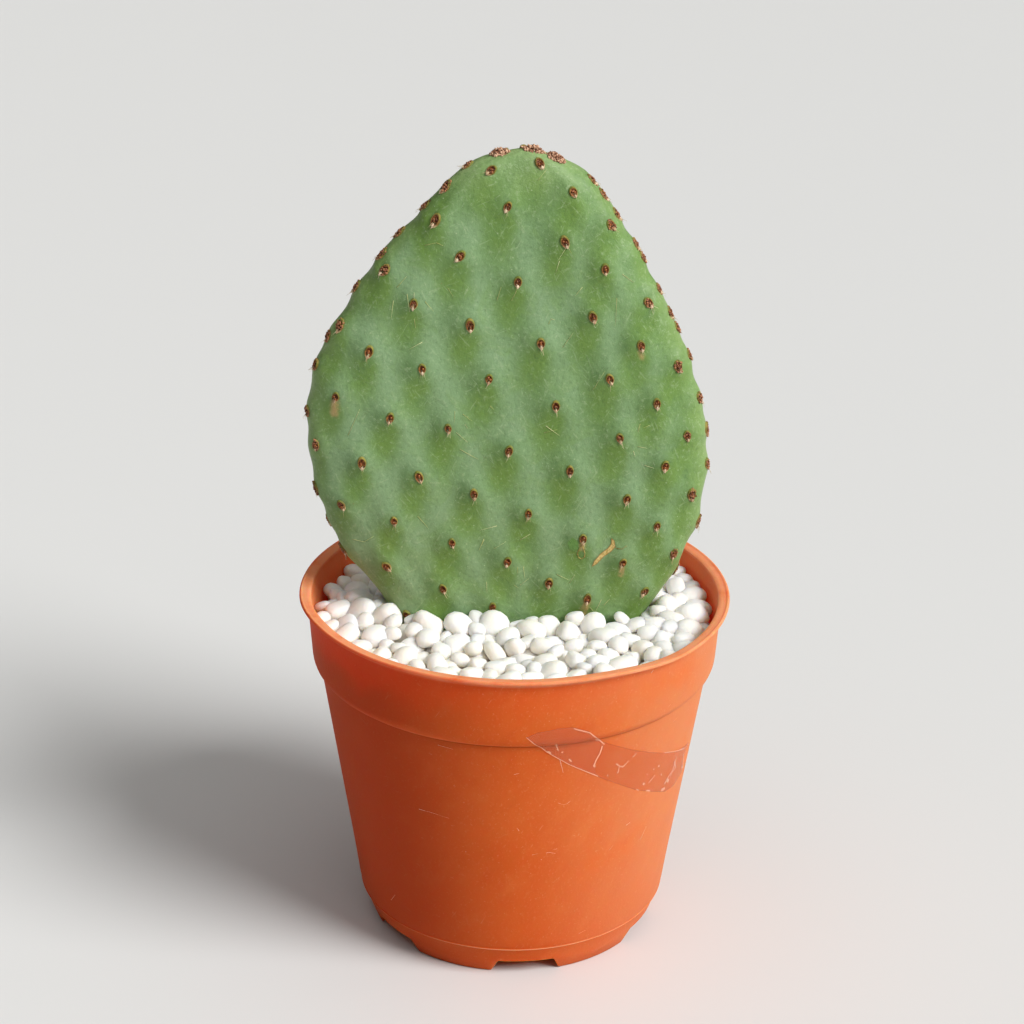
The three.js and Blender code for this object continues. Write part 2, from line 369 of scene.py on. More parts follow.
pad = {
    "leftEdge": [
        (0.9, 189.3), (-10.6, 185.4), (-19.7, 176), (-34.3, 158.3), (-44.9, 138), (-46.7, 124),
        (-45.3, 110), (-39.8, 96), (-30.2, 81), (-22.5, 69.5), (-12, 63.5), (0, 61.5),
    ],
    "rightEdge": [
        (0.9, 189.3), (11.2, 185.8), (18.8, 176.8), (29.1, 159.5), (38.8, 138), (42.2, 124),
        (42.2, 108), (39.2, 96), (32, 81), (24.5, 69.5), (13, 63.5), (0, 61.5),
    ],
    "top": 189.3,
    "base": 61.5,
    "halfThickness": 6.6,
    "fullness": 7,  # a little flatter faces than the CAD model's
    "around": 320,
    "rings": 290,
    "moundHeight": 0.62,
    "moundRadius": 3.7,
    "rimMound": 0.45,  # how much higher the mounds are round the rim
    "ridgeHeight": 0.045,
    "ridgeLag": 0.35,  # radians from an areole to the crest of its ridge
    "wobble": 0.24,
    # radians round from the middle of the face, where the rim's areoles lie on the left and the right
    "rimAngles": {-1: (1.1, 1.45), 1: (1.15, 1.5)},
}
pebbleTop = 82  # mm, about where the pad comes out of the pebbles
padMiddle = (pad["top"] + pad["base"]) / 2
padHalfHeight = (pad["top"] - pad["base"]) / 2

spiral = {
    "turn": 137.5078,
    "firstAngle": 25.2,
    "firstHeight": 179.3,
    "rise": 0.754,
    "from": -14,
    "to": 130,
    "lowest": 77.5,
    "highest": 188.6,
    "ridgeStep": 21,  # the ridges run from each areole to the 21st one after it
    # the pad's uneven growth skews the spiral, by degrees of turn and by millimetres of height
    "skew": {"byHeight": 6, "bySide": 3, "byBoth": 23.5},
    "shift": {"everywhere": 1.4, "bySide": 2.4, "byBoth": -3.1, "atRims": -4.3},
    # how far, in mm, an areole of the spiral moves to one that is seen, or leaves room for it
    "fitReach": 7,
    "crowding": 4.2,
    "inView": (83, 187),  # heights between which the photograph shows every areole of the front
    "bendReach": 9,  # how far round an areole the ridges bend to run through it
}


def edgeSamples(points, steps=24):
    # a smooth curve through an edge's points, from the base up
    last = len(points) - 1
    samples = [Vector(points[-1])]
    for i in range(last - 1, -1, -1):
        before, start, end, after = (Vector(points[min(max(i + k, 0), last)]) for k in (-1, 0, 1, 2))
        startPull, endPull = (end - before) / 2, (after - start) / 2
        for t in np.arange(steps - 1, -1, -1) / steps:
            cubic = (2 * (start - end) + startPull + endPull) * t ** 3
            square = (3 * (end - start) - 2 * startPull - endPull) * t ** 2
            samples.append(cubic + square + startPull * t + start)
    return asArray(samples)


leftEdge = edgeSamples(pad["leftEdge"])
rightEdge = edgeSamples(pad["rightEdge"])


def padEdges(heights):
    left = np.interp(heights, leftEdge[:, 1], leftEdge[:, 0])
    right = np.interp(heights, rightEdge[:, 1], rightEdge[:, 0])
    return left, right


def blunt(share):
    return np.sqrt(np.maximum(0, 1 - np.abs(share) ** pad["fullness"]))


def padPoint(heights, angles):
    # points on the smooth pad, in mm; angle 0 is the middle of the front face, and it grows to the right
    levels = np.clip(heights, pad["base"], pad["top"])
    left, right = padEdges(levels)
    across = np.sin(angles)
    depth = pad["halfThickness"] * blunt((levels - padMiddle) / padHalfHeight) * blunt(across)
    x = (left + right) / 2 + (right - left) / 2 * across
    return np.stack([x, -np.sign(np.cos(angles)) * depth, levels], axis=-1)


def padNormal(heights, angles):
    levels = np.clip(heights, pad["base"] + 1, pad["top"] - 1)
    around = padPoint(levels, angles + 0.02) - padPoint(levels, angles - 0.02)
    upward = padPoint(levels + 0.3, angles) - padPoint(levels - 0.3, angles)
    normals = np.cross(around, upward)
    normals /= np.linalg.norm(normals, axis=-1, keepdims=True)
    normals[heights > pad["top"] - 0.02] = (0, 0, 1)
    normals[heights < pad["base"] + 0.02] = (0, 0, -1)
    return normals


def growthSkew(levels, turned):
    # added turn in radians, and added height in mm
    side = np.sin(turned)
    climb = (levels - padMiddle) / padHalfHeight
    skew, shift = spiral["skew"], spiral["shift"]
    extraTurn = skew["byHeight"] * climb + skew["bySide"] * side + skew["byBoth"] * climb * side
    extraHeight = shift["everywhere"] + shift["bySide"] * side + shift["byBoth"] * climb * side
    return np.radians(extraTurn), extraHeight + shift["atRims"] * side ** 2


def areolePlaces():
    steps = np.arange(spiral["from"], spiral["to"] + 1)
    turned = np.radians(spiral["firstAngle"] + spiral["turn"] * steps)
    levels = spiral["firstHeight"] - spiral["rise"] * steps
    extraTurn, extraHeight = growthSkew(levels, turned)
    return np.minimum(levels + extraHeight, spiral["highest"]), turned + extraTurn


# Where the photograph shows the areoles, in its pixels: row by row on the face, then round the rim
seenAreoles = [
    [(491, 172), (540, 165), (573, 193.5), (609, 227), (638, 260)],
    [(449, 190), (507.5, 208), (565, 243), (605, 270), (647, 304), (673.6, 330), (689, 358)],
    [(401, 236.5), (436.5, 222), (460, 257), (518, 283), (593, 318), (641, 347), (676, 367.5)],
    [(356, 290), (386, 272), (413.5, 305), (470, 326), (541, 344), (610, 380), (657, 405), (686.5, 436.5)],
    [(343, 328), (369, 353), (422, 370), (489, 380), (556, 407), (620, 439), (665, 467), (690, 495)],
    [(336, 398), (390, 419), (448, 429.5), (509, 452), (570, 472), (627, 500), (657, 527), (672.5, 554)],
    [(318, 445.5), (362, 464), (419, 478), (474, 495), (528.5, 515), (583, 540), (623, 564), (644, 592)],
    [(342, 506), (394, 522), (452, 544), (507.5, 563), (549, 584), (587.5, 600)],
    [(387, 567), (443, 590), (492.6, 608), (408, 615.7)],
]
seenLeftRim = [
    (468, 166), (425, 204), (380, 252), (328, 335), (318.5, 365), (310, 410), (316, 487.5), (345, 548),
]
seenRightRim = [
    (592, 180), (604, 194), (618, 213), (636.5, 243), (659.6, 287.5), (670, 312), (696, 398),
    (704, 429), (702.5, 463), (694, 519.5),
]


def onFace(pixelX, pixelY, lift=0.5):
    # height and angle of the spot on the pad's front face that a pixel shows
    depth = pad["halfThickness"] + lift
    for _ in range(6):
        point = fromPixel(pixelX, pixelY, depth)
        angle = float(spotAngle(point.x, point.z))
        depth = -padPoint(np.array([point.z]), np.array([angle]))[0, 1] + lift
    return point.z, angle


def onRim(pixelX, pixelY, side):
    # height and angle of the spot of the pad's rim that lies nearest to a pixel
    angles = side * np.linspace(*pad["rimAngles"][side], 40)
    heights = fromPixel(pixelX, pixelY, 3).z + np.linspace(-4, 4, 60)
    heights, angles = (grid.ravel() for grid in np.meshgrid(heights, angles))
    seenX, seenY = toPixels(padPoint(heights, angles))
    nearest = np.argmin(np.hypot(seenX - pixelX, seenY - pixelY))
    return heights[nearest], angles[nearest]


def seenPlaces():
    places = [onFace(*spot, 0.9) for row in seenAreoles for spot in row]
    places += [onRim(*spot, -1) for spot in seenLeftRim]
    places += [onRim(*spot, 1) for spot in seenRightRim]
    return places


def fitToPhoto(heights, angles):
    # each areole of the spiral that the photograph shows moves to where it is seen
    heights, angles = heights.copy(), angles.copy()
    points = padPoint(heights, angles)
    seen = seenPlaces()
    spots = padPoint(*np.array(seen).T)
    away = np.linalg.norm(points[:, None] - spots[None], axis=2)
    fitted = np.zeros(len(heights), bool)
    found = np.zeros(len(seen), bool)
    for _ in seen:
        areole, spot = np.unravel_index(np.argmin(away), away.shape)
        if away[areole, spot] > spiral["fitReach"]:
            break
        heights[areole], angles[areole] = seen[spot]
        fitted[areole] = found[spot] = True
        away[areole, :] = away[:, spot] = 1e9
    extra = [place for place, there in zip(seen, found) if not there]
    lowest, highest = spiral["inView"]
    inView = (np.cos(angles) > 0.02) & (heights > lowest) & (heights < highest)
    nearest = np.linalg.norm(points[:, None] - spots[None], axis=2).min(axis=1)
    kept = fitted | ~(inView | (nearest < spiral["crowding"]))
    print("areoles:", fitted.sum(), "fitted,", len(extra), "added,", (~kept).sum(), "left out")
    heights = np.concatenate([heights[kept], [height for height, _ in extra]])
    return heights, np.concatenate([angles[kept], [angle for _, angle in extra]])


def spotAngle(x, z, back=False):
    # the angle at which a face has this x at this height
    left, right = padEdges(z)
    share = np.clip((np.asarray(x) - (left + right) / 2) * 2 / (right - left), -0.999, 0.999)
    angle = np.arcsin(share)
    return math.pi - angle if back else angle


areoleHeights, areoleAngles = fitToPhoto(*areolePlaces())
areolePoints = padPoint(areoleHeights, areoleAngles)


def spiralPhase(heights, angles):
    # an angle that is a whole turn at every areole of the even spiral, and so along its ridges
    turned, levels = angles.copy(), heights.copy()
    for _ in range(12):
        extraTurn, extraHeight = growthSkew(levels, turned)
        turned, levels = angles - extraTurn, heights - extraHeight
    step = spiral["ridgeStep"]
    drift = (step * spiral["turn"]) % 360
    climbed = (spiral["firstHeight"] - levels) / spiral["rise"]
    return step * (turned - math.radians(spiral["firstAngle"])) - np.radians(drift) * climbed


def ridgePhase(heights, angles):
    # the same, bent so that the ridges run through the areoles where they really are
    slip = spiralPhase(areoleHeights, areoleAngles)
    slip = (slip + math.pi) % (2 * math.pi) - math.pi
    points = padPoint(heights, angles)
    total, weight = np.zeros(len(points)), np.full(len(points), 1e-3)
    for spot, turn in zip(areolePoints, slip):
        share = np.exp(-((points - spot) ** 2).sum(axis=1) / spiral["bendReach"] ** 2)
        total += share * turn
        weight += share
    return spiralPhase(heights, angles) - total / weight


def nearAreoles(points, radius, down=0, left=0, tall=1):
    # 1 at a spot down and left of each areole on the same face, falling off smoothly
    total = np.zeros(len(points))
    for spot in areolePoints:
        away = points - (spot + (-left, 0, -down))
        away[:, 2] /= tall
        total += np.exp(-(away ** 2).sum(axis=1) / radius ** 2)
    return total


def roughNoise(points, size, seed):
    shift = Vector((seed * 7.3, seed * 3.1, seed * 5.7))
    return np.array([noise.noise(Vector(point) / size + shift) for point in points])


def faceShare(angles, heights):
    # 1 on the two broad faces, 0 round the rim and at the tip
    flat = np.clip((np.abs(np.cos(angles)) - 0.12) / 0.35, 0, 1)
    top = np.clip((pad["top"] - heights) / 16, 0, 1)
    return flat * top


def skinPoint(heights, angles):
    # points on the finished skin, in mm, with its mounds, ridges and slow waves
    heights, angles = np.atleast_1d(heights).astype(float), np.atleast_1d(angles).astype(float)
    smooth = padPoint(heights, angles)
    outer = np.clip((np.abs(np.sin(angles)) - 0.9) / 0.08, 0, 1)
    height = pad["moundHeight"] + pad["rimMound"] * outer
    relief = height * np.minimum(nearAreoles(smooth, pad["moundRadius"]), 1.2)
    ridges = np.cos(ridgePhase(heights, angles) - pad["ridgeLag"])
    relief += pad["ridgeHeight"] * ridges * faceShare(angles, heights)
    relief += pad["wobble"] * roughNoise(smooth, 13, 1)
    relief += 0.5 * pad["wobble"] * roughNoise(smooth, 5, 2)
    relief -= 0.3 * nearAreoles(smooth, 1.2)
    relief *= 1 - 0.8 * np.clip((heights - 181) / 8, 0, 1)
    return smooth + padNormal(heights, angles) * relief[:, None]


def skinFrame(height, angle):
    # place, outward direction and downward direction at one spot of the skin
    heights = np.array([height, height + 0.4, height - 0.4, height, height])
    angles = np.array([angle, angle, angle, angle + 0.02, angle - 0.02])
    centre, above, below, right, left = skinPoint(heights, angles)
    outward = Vector(np.cross(right - left, above - below)).normalized()
    downward = Vector(below - above)
    downward = (downward - outward * downward.dot(outward)).normalized()
    return Vector(centre), outward, downward


skinLook = {
    "green": (104, 140, 78),
    "bloomAndLitBands": (134, 166, 121),
    "olive": (105, 139, 54),
    "shade": (78, 112, 60),
    "rim": (154, 178, 120),
    "fresh": (122, 158, 84),
    "speck": (176, 196, 152),
    "scurf": (128, 116, 62),
    "tan": (158, 134, 92),
    "stain": (180, 150, 98),
}


def skinFinish():
    paint = Finish("cactusSkin")
    look = tones(skinLook)
    marks = ("olive", "bloomAndLitBands", "shade", "rim", "stain")
    olive, bloomAndLitBands, shade, rim, stain = (paint.read(key) for key in marks)
    drift = paint.mottle(0.018, detail=2)
    patchy = paint.mottle(0.0042, detail=5, roughness=0.65)
    fine = paint.mottle(0.0011, detail=4, roughness=0.75)
    leafy = paint.mottle(0.0075, detail=4, roughness=0.6, twist=0.7)
    streaks = paint.mottle(0.005, at=paint.stretch((1, 1, 3), turn=(0, 0.14, 0)), detail=4)
    # painted light: the waxy bloom's tone, stronger on the lit flanks of the ridges
    waxAndLitBands = paint.between(bloomAndLitBands * 0.75 + patchy * 0.5 + drift * 0.5, 0.5, 1.1)
    colour = paint.mix(waxAndLitBands, look["green"], look["bloomAndLitBands"])
    colour = paint.mix(paint.between(leafy, 0.5, 0.64) * (0.5 - bloomAndLitBands * 0.35), colour, look["fresh"])
    # painted shade on the shaded flanks of the ridges and beside the areoles
    colour = paint.mix(shade * paint.between(streaks, 0.2, 0.7) * 0.8, colour, look["shade"])
    colour = paint.mix(olive * paint.between(patchy, 0.15, 0.6) * 0.78, colour, look["olive"])
    # the paler tone of the rim and top edge, partly its own tint and partly painted light
    colour = paint.mix(rim * paint.between(drift + patchy * 0.4, 0.3, 0.9), colour, look["rim"])
    colour = paint.mix(paint.between(fine, 0.54, 0.68) * 0.3, colour, look["speck"])
    colour = paint.mix(paint.between(fine, 0.46, 0.34) * 0.3, colour, look["shade"])
    for turn in (0.5, -0.4, 1.1, 2.4):
        fuzz = paint.mottle(0.0005, at=paint.stretch((1, 1, 9), turn=(0, turn, 0)), detail=1)
        colour = paint.mix(paint.between(fuzz, 0.68, 0.77) * 0.24, colour, look["speck"])
    colour = paint.mix(paint.specks(0.0024, 0.085, 0.5) * 0.55, colour, look["speck"])
    colour = paint.mix(paint.specks(0.0015, 0.09, 0.3) * 0.4, colour, look["speck"])
    colour = paint.mix(paint.specks(0.0062, 0.035, 0.3) * 0.6, colour, look["scurf"])
    colour = paint.mix(paint.specks(0.009, 0.05, 0.2) * 0.5, colour, look["tan"])
    colour = paint.mix(stain * paint.between(fine + patchy * 0.5, 0.5, 0.8) * 0.85, colour, look["stain"])
    rough = 0.4 + patchy * 0.12 + fine * 0.1 - olive * 0.04
    pores = paint.cells(0.0011)
    relief = paint.bump(fine * 0.8 + patchy * 0.8 - pores * 0.25, 0.0002)
    return paint.surface({
        "Base Color": colour,
        "Roughness": rough,
        "Normal": relief,
        "Specular IOR Level": 0.42,
        "Subsurface Weight": 0.06,
        "Subsurface Radius": (0.0012, 0.002, 0.0006),
        "Subsurface Scale": 1.0,
    })


# Patches round each areole, in mm: their radius, how far down and left they lie, and their stretch
areolePatches = {
    "olive": {"radius": 3.4, "down": 6.3, "left": 1.6, "tall": 1.5},
    "oliveStart": {"radius": 2.3, "down": 3.2, "left": 0.2},
    "shadeBesideAreole": {"radius": 2.6, "down": 0.6, "left": 2.4, "tall": 1.2},
}
# How far from a ridge's crest its painted lit band and its painted shaded band lie, in radians of its wave
bands = {"light": 1.25, "dark": 1.35}

# Dried sap and residue on the front of the skin: width in mm, then the photograph's pixels
stains = [
    (0.8, [(336, 402), (334.5, 414)]), (0.75, [(587, 602), (584, 613), (580, 618)]),
    (0.4, [(640, 352), (642, 358)]), (0.45, [(583, 544), (582, 549)]), (0.5, [(622, 568), (621, 575)]),
]


def makeSkin():
    bm = bmesh.new()
    bmesh.ops.create_uvsphere(bm, u_segments=pad["around"], v_segments=pad["rings"], radius=1)
    sphere = asArray(v.co for v in bm.verts)
    heights = padMiddle + padHalfHeight * sphere[:, 2]
    angles = np.arctan2(sphere[:, 0], -sphere[:, 1])
    smooth = padPoint(heights, angles)
    placed = skinPoint(heights, angles)
    for vertex, place in zip(bm.verts, placed * mm):
        vertex.co = place
    bmesh.ops.recalc_face_normals(bm, faces=bm.faces)
    mesh = finishMesh(bm, "cactusSkin")
    phase = ridgePhase(heights, angles)
    flat = faceShare(angles, heights)
    side = np.sign(np.cos(angles))  # the painted lit bands lie on the same side of the ridges on both faces
    lit = 0.5 + 0.5 * np.cos(phase - bands["light"] * side)
    dark = 0.5 + 0.5 * np.cos(phase + bands["dark"] * side)
    olive = nearAreoles(smooth, **areolePatches["olive"])
    olive += 0.65 * nearAreoles(smooth, **areolePatches["oliveStart"])
    olive = np.clip(olive, 0, 1)
    shadeBesideAreole = nearAreoles(smooth, **areolePatches["shadeBesideAreole"])
    # the rim and the top edge get their own paler tone, partly painted light where light falls on them
    rim = np.clip(1 - np.abs(np.cos(angles)) / 0.42, 0, 1) + np.clip((heights - 178) / 12, 0, 1)
    edges = padEdges(np.clip(heights, pad["base"] + 1, pad["top"] - 1))
    across = (smooth[:, 0] - edges[0]) / (edges[1] - edges[0])
    powdery = 1.2 * np.clip((0.36 - across) / 0.3, 0, 1) + 0.9 * np.clip((across - 0.7) / 0.25, 0, 1)
    # painted shade: the shaded flank of each ridge, and a painted shadow left of each areole on its mound
    shade = dark * 0.24 * flat * (1 - 0.5 * powdery) + shadeBesideAreole * 0.9
    setAttribute(mesh, "olive", olive)
    # painted light: the waxy bloom, painted paler on the lit flank of each ridge
    setAttribute(mesh, "bloomAndLitBands", (0.46 + 0.18 * lit + 0.3 * powdery) * flat * (1 - 0.75 * olive))
    setAttribute(mesh, "shade", np.clip(shade, 0, 1))
    setAttribute(mesh, "rim", np.clip(rim, 0, 1) * 0.72)
    spots = np.zeros(len(smooth))
    for width, path in stains:
        line = padPoint(*np.array([onFace(*pixel) for pixel in path]).T)
        spots = np.maximum(spots, np.clip(1.6 - distanceTo(smooth, line) / width, 0, 1))
    setAttribute(mesh, "stain", spots)
    skin = addObject("padSkin", mesh, [skinFinish()])
    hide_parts("cactus_pad")
    return skin


skinTree = BVHTree.FromObject(makeSkin(), bpy.context.evaluated_depsgraph_get())
print("skin done")


# Areoles: a small raised cup with dark felt, a cream tip at its lower end, and short glochids

areole = {
    "length": 2.9,  # mm
    "width": 1.9,
    "rimScale": 1.12,  # the ones round the rim of the pad are larger
    "twist": 16,  # degrees
    "beadRadius": (0.24, 0.36),
    "hairs": (3, 6),
    "hairLength": (0.6, 1.9),
    "bristleLength": (0.7, 1.1),
    "hairRadius": 0.055,
    "crumbRadius": (0.12, 0.27),
    "topCrumbRadius": (0.16, 0.38),
    "seed": 11,
}

cupLook = {
    "crest": (126, 98, 34),
    "greenCrest": (108, 118, 34),
    "crust": (170, 142, 64),
    "lowerEnd": (212, 190, 146),
    "felt": (98, 50, 18),
    "paleFelt": (186, 118, 58),
    "feltTips": (214, 172, 138),
    "aged": (112, 66, 32),
}


def areoleFrames():
    # place and directions of each areole, and how far it belongs to the rim and to the upper part
    frames = []
    for height, angle in zip(areoleHeights, areoleAngles):
        if height > spiral["lowest"]:
            outer = min(1, max(0, (abs(math.sin(angle)) - 0.84) / 0.1))
            upper = min(1, max(0, (height - 135) / 35))
            frames.append((*skinFrame(height, angle), outer, upper))
    return frames


def cupTemplate():
    # rings of an oval cup: foot, outer wall, crest, inner wall and floor
    rings = [(1.12, -0.25), (0.98, 0.08), (0.9, 0.36), (0.8, 0.42), (0.68, 0.24), (0.42, 0.04)]
    bm = bmesh.new()
    made = bmesh.ops.create_circle(bm, segments=12, radius=1)
    edges = list({edge for vert in made["verts"] for edge in vert.link_edges})
    first = made["verts"]
    for vert in first:
        vert.co *= rings[0][0]
        vert.co.z = rings[0][1]
    for (before, _), (radius, height) in zip(rings, rings[1:]):
        grown = bmesh.ops.extrude_edge_only(bm, edges=edges)["geom"]
        edges = [item for item in grown if isinstance(item, bmesh.types.BMEdge)]
        for vert in (item for item in grown if isinstance(item, bmesh.types.BMVert)):
            vert.co.x *= radius / before
            vert.co.y *= radius / before
            vert.co.z = height
    bmesh.ops.contextual_create(bm, geom=edges)
    bmesh.ops.recalc_face_normals(bm, faces=bm.faces)
    for vert in bm.verts:
        vert.co.z += 0.16 * max(0, -vert.co.y) * (vert.co.z > 0)  # the upper end is a small hood
        vert.co.x *= 1 - 0.18 * max(0, vert.co.y)
    spots = [vert.co.copy() for vert in bm.verts]
    mesh = finishMesh(bm, "cup")
    setAttribute(mesh, "inward", [1 - min(1, math.hypot(spot.x, spot.y)) for spot in spots])
    setAttribute(mesh, "upper", [0.5 - 0.5 * max(-1, min(1, spot.y)) for spot in spots])
    mesh["marks"] = ["inward", "upper"]
    return mesh


def cupFinish():
    paint = Finish("areoleCup")
    look = tones(cupLook)
    inward, upper, lot = paint.read("inward"), paint.read("upper"), paint.read("lot")
    grain = paint.mottle(0.0006, detail=3, roughness=0.7)
    crust = paint.mottle(0.0016, detail=2)
    outer = paint.mix(paint.between(upper, 0.45, 0.8), look["crest"], look["greenCrest"])
    outer = paint.mix(paint.between(crust, 0.42, 0.65) * 0.5, outer, look["crust"])
    outer = paint.mix(paint.between(upper, 0.36, 0.12) * 0.9, outer, look["lowerEnd"])
    felt = paint.mix(paint.between(grain, 0.44, 0.62), look["felt"], look["paleFelt"])
    felt = paint.mix(paint.between(grain, 0.62, 0.72) * 0.7, felt, look["feltTips"])
    colour = paint.mix(paint.between(inward, 0.16, 0.34), outer, felt)
    colour = paint.mix(lot * 0.2, colour, look["aged"])
    relief = paint.bump(grain + crust * 0.5, 0.00025)
    rough = 0.5 + grain * 0.3
    return paint.surface({"Base Color": colour, "Roughness": rough, "Normal": relief})


def tipTemplate():
    bm = bmesh.new()
    bmesh.ops.create_uvsphere(bm, u_segments=8, v_segments=5, radius=1)
    for vert in bm.verts:
        vert.co.x *= 1 - 0.35 * max(0, vert.co.y)
    return finishMesh(bm, "tip")


def plainFinish(name, dark, light, size, roughness, depth):
    # two tones in grains of this size, lighter or darker by lot, with bumps of this depth in metres
    paint = Finish(name)
    grain = paint.mottle(size, detail=3, roughness=0.65)
    mask = paint.between(grain * 0.8 + paint.read("lot") * 0.4, 0.35, 0.85)
    colour = paint.mix(mask, tone(*dark), tone(*light))
    rough = roughness + grain * 0.15
    relief = paint.bump(grain, depth)
    return paint.surface({"Base Color": colour, "Roughness": rough, "Normal": relief})


def hairTemplate(bend):
    # a thin three-sided hair, 1 long, that leans over towards its tip
    bm = bmesh.new()
    bmesh.ops.create_cone(bm, cap_ends=True, segments=3, radius1=1, radius2=0.35, depth=1)
    bmesh.ops.translate(bm, verts=bm.verts, vec=(0, 0, 0.5))
    for cut in (0.35, 0.7):
        parts = list(bm.verts) + list(bm.edges) + list(bm.faces)
        bmesh.ops.bisect_plane(bm, geom=parts, plane_co=(0, 0, cut), plane_no=(0, 0, 1))
    for vert in bm.verts:
        vert.co.y += bend * vert.co.z ** 2
    return finishMesh(bm, "hair")


def hairPlacing(root, direction, bendTo, length, radius):
    # the hair's own z runs along direction, and it leans over towards bendTo
    along = direction.normalized()
    across = along.cross(bendTo).normalized()
    side = across.cross(along)
    scale = Matrix.Diagonal((radius, radius, length, 1))
    return basis(across * mm, side * mm, along * mm, root * mm) @ scale


def growHairs(bed, foot, rng, parts):
    # pale hairs fan out from the foot, and a bristle or two stand in the felt
    place, outward, down, across = bed
    radius = areole["hairRadius"]
    for _ in range(rng.randint(*areole["hairs"])):
        lean = rng.uniform(-0.5, 0.5)
        direction = down + across * lean + outward * rng.uniform(0.12, 0.7)
        root = foot - down * rng.uniform(0.1, 0.9) + across * rng.uniform(-0.3, 0.3)
        length = rng.uniform(*areole["hairLength"])
        parts["glochidHairs"].append(hairPlacing(root, direction, down, length, radius))
    for _ in range(rng.randint(1, 2)):
        direction = outward + down * rng.uniform(-0.2, 1.2) + across * rng.uniform(-0.8, 0.8)
        root = place + across * rng.uniform(-0.4, 0.4) + down * rng.uniform(-0.7, 0.6)
        length = rng.uniform(*areole["bristleLength"])
        parts["brownBristles"].append(hairPlacing(root, direction, down, length, radius))


def growAreole(place, outward, downward, outer, upper, rng, parts):
    size = (1 + (areole["rimScale"] - 1) * outer + 0.08 * upper) * rng.uniform(0.88, 1.1)
    twist = math.radians(rng.uniform(-areole["twist"], areole["twist"]))
    down = Matrix.Rotation(twist, 3, outward) @ downward
    across = down.cross(outward).normalized()
    halfWidth = areole["width"] / 2 * size
    halfLength = areole["length"] / 2 * size * rng.uniform(0.9, 1.08)
    scale = Matrix.Diagonal((halfWidth, halfLength, (1.1 - 0.3 * outer) * size, 1))
    parts["areoleCups"].append(basis(across * mm, down * mm, outward * mm, place * mm) @ scale)
    foot = place + down * halfLength * 0.72 + outward * 0.36
    scale = Matrix.Diagonal((rng.uniform(0.24, 0.36) * size, rng.uniform(0.36, 0.6) * size, 0.22, 1))
    parts["areoleTips"].append(basis(across * mm, down * mm, outward * mm, foot * mm) @ scale)
    for _ in range(2):
        spot = place + across * rng.uniform(-0.3, 0.3) + down * rng.uniform(-0.5, 0.5)
        ball = Matrix.Scale(rng.uniform(*areole["beadRadius"]) * mm, 4)
        parts["areoleBeads"].append(Matrix.Translation((spot + outward * 0.42) * mm) @ ball)
    growHairs((place, outward, down, across), foot, rng, parts)
    for _ in range(round(9 * upper + 30 * outer)):
        reach, turn = math.sqrt(rng.random()), rng.uniform(0, 2 * math.pi)
        sideways, lengthways = reach * math.sin(turn), reach * math.cos(turn)
        spread = across * halfWidth * sideways + down * halfLength * lengthways
        lift = 0.3 + 0.3 * outer - (0.2 + 0.15 * outer) * reach + rng.uniform(-0.06, 0.08)
        spot = place + spread * (0.6 + 0.4 * outer) + outward * lift
        ball = Matrix.Scale(rng.uniform(*areole["crumbRadius"]) * mm, 4)
        stretch = Matrix.Diagonal((rng.uniform(0.8, 1.3), rng.uniform(0.8, 1.3), 1, 1))
        parts["rimFelt"].append(Matrix.Translation(spot * mm) @ ball @ stretch)


def growTopFelt(rng):
    crumbs = []
    for patch in topFelt:
        for _ in range(patch["crumbs"]):
            spot = topSpot(patch, rng)
            ball = Matrix.Scale(rng.uniform(*areole["topCrumbRadius"]) * mm, 4)
            turned = Matrix.Rotation(rng.uniform(0, math.pi), 4, Vector((rng.random(), rng.random(), 1)))
            stretch = Matrix.Diagonal((rng.uniform(0.7, 1), rng.uniform(1, 1.9), rng.uniform(0.7, 1), 1))
            crumbs.append(Matrix.Translation(spot * mm) @ turned @ ball @ stretch)
    return crumbs


def makeAreoles():
    crumb = crumbTemplate()
    bent = [hairTemplate(0.25), hairTemplate(0.45)]
    felt = plainFinish("brownFelt", (100, 56, 32), (184, 126, 88), 0.0006, 0.62, 0.0003)
    paleFelt = plainFinish("paleFelt", (128, 78, 50), (228, 186, 152), 0.0007, 0.62, 0.0003)
    gloss = plainFinish("brownBead", (92, 44, 16), (158, 90, 42), 0.0006, 0.2, 0.00005)
    cream = plainFinish("creamTip", (182, 146, 108), (232, 208, 178), 0.0005, 0.5, 0.00015)
    straw = plainFinish("strawHair", (176, 148, 92), (226, 214, 176), 0.001, 0.4, 0.00003)
    # templates, seed and finish of each piece
    pieces = {
        "areoleCups": ([cupTemplate()], 1, cupFinish()),
        "areoleTips": ([tipTemplate()], 2, cream),
        "areoleBeads": ([crumb], 3, gloss),
        "rimFelt": ([crumb], 4, felt),
        "topFelt": ([crumb], 7, paleFelt),
        "glochidHairs": (bent, 5, straw),
        "brownBristles": (bent, 6, felt),
    }
    rng = random.Random(areole["seed"])
    parts = {name: [] for name in pieces}
    for place in areoleFrames():
        growAreole(*place, rng, parts)
    parts["topFelt"] = growTopFelt(rng)
    for name, (templates, seed, finish) in pieces.items():
        addCopies(name, templates, parts[name], seed, finish)


def crumbTemplate():
    bm = bmesh.new()
    bmesh.ops.create_icosphere(bm, subdivisions=1, radius=1)
    return finishMesh(bm, "crumb")


# On the pad's top edge the felt of several areoles has grown together, in mm from the middle of the pot
topFelt = [
    {"x": (-6.6, -2.2), "y": (-1.7, 1.2), "crumbs": 120, "rise": 1.1},
    {"x": (0.2, 5.4), "y": (-1.4, 1.2), "crumbs": 150, "rise": 1.1},
    {"x": (5.8, 9.8), "y": (-2.6, 0.8), "crumbs": 170, "rise": 1.2},
]


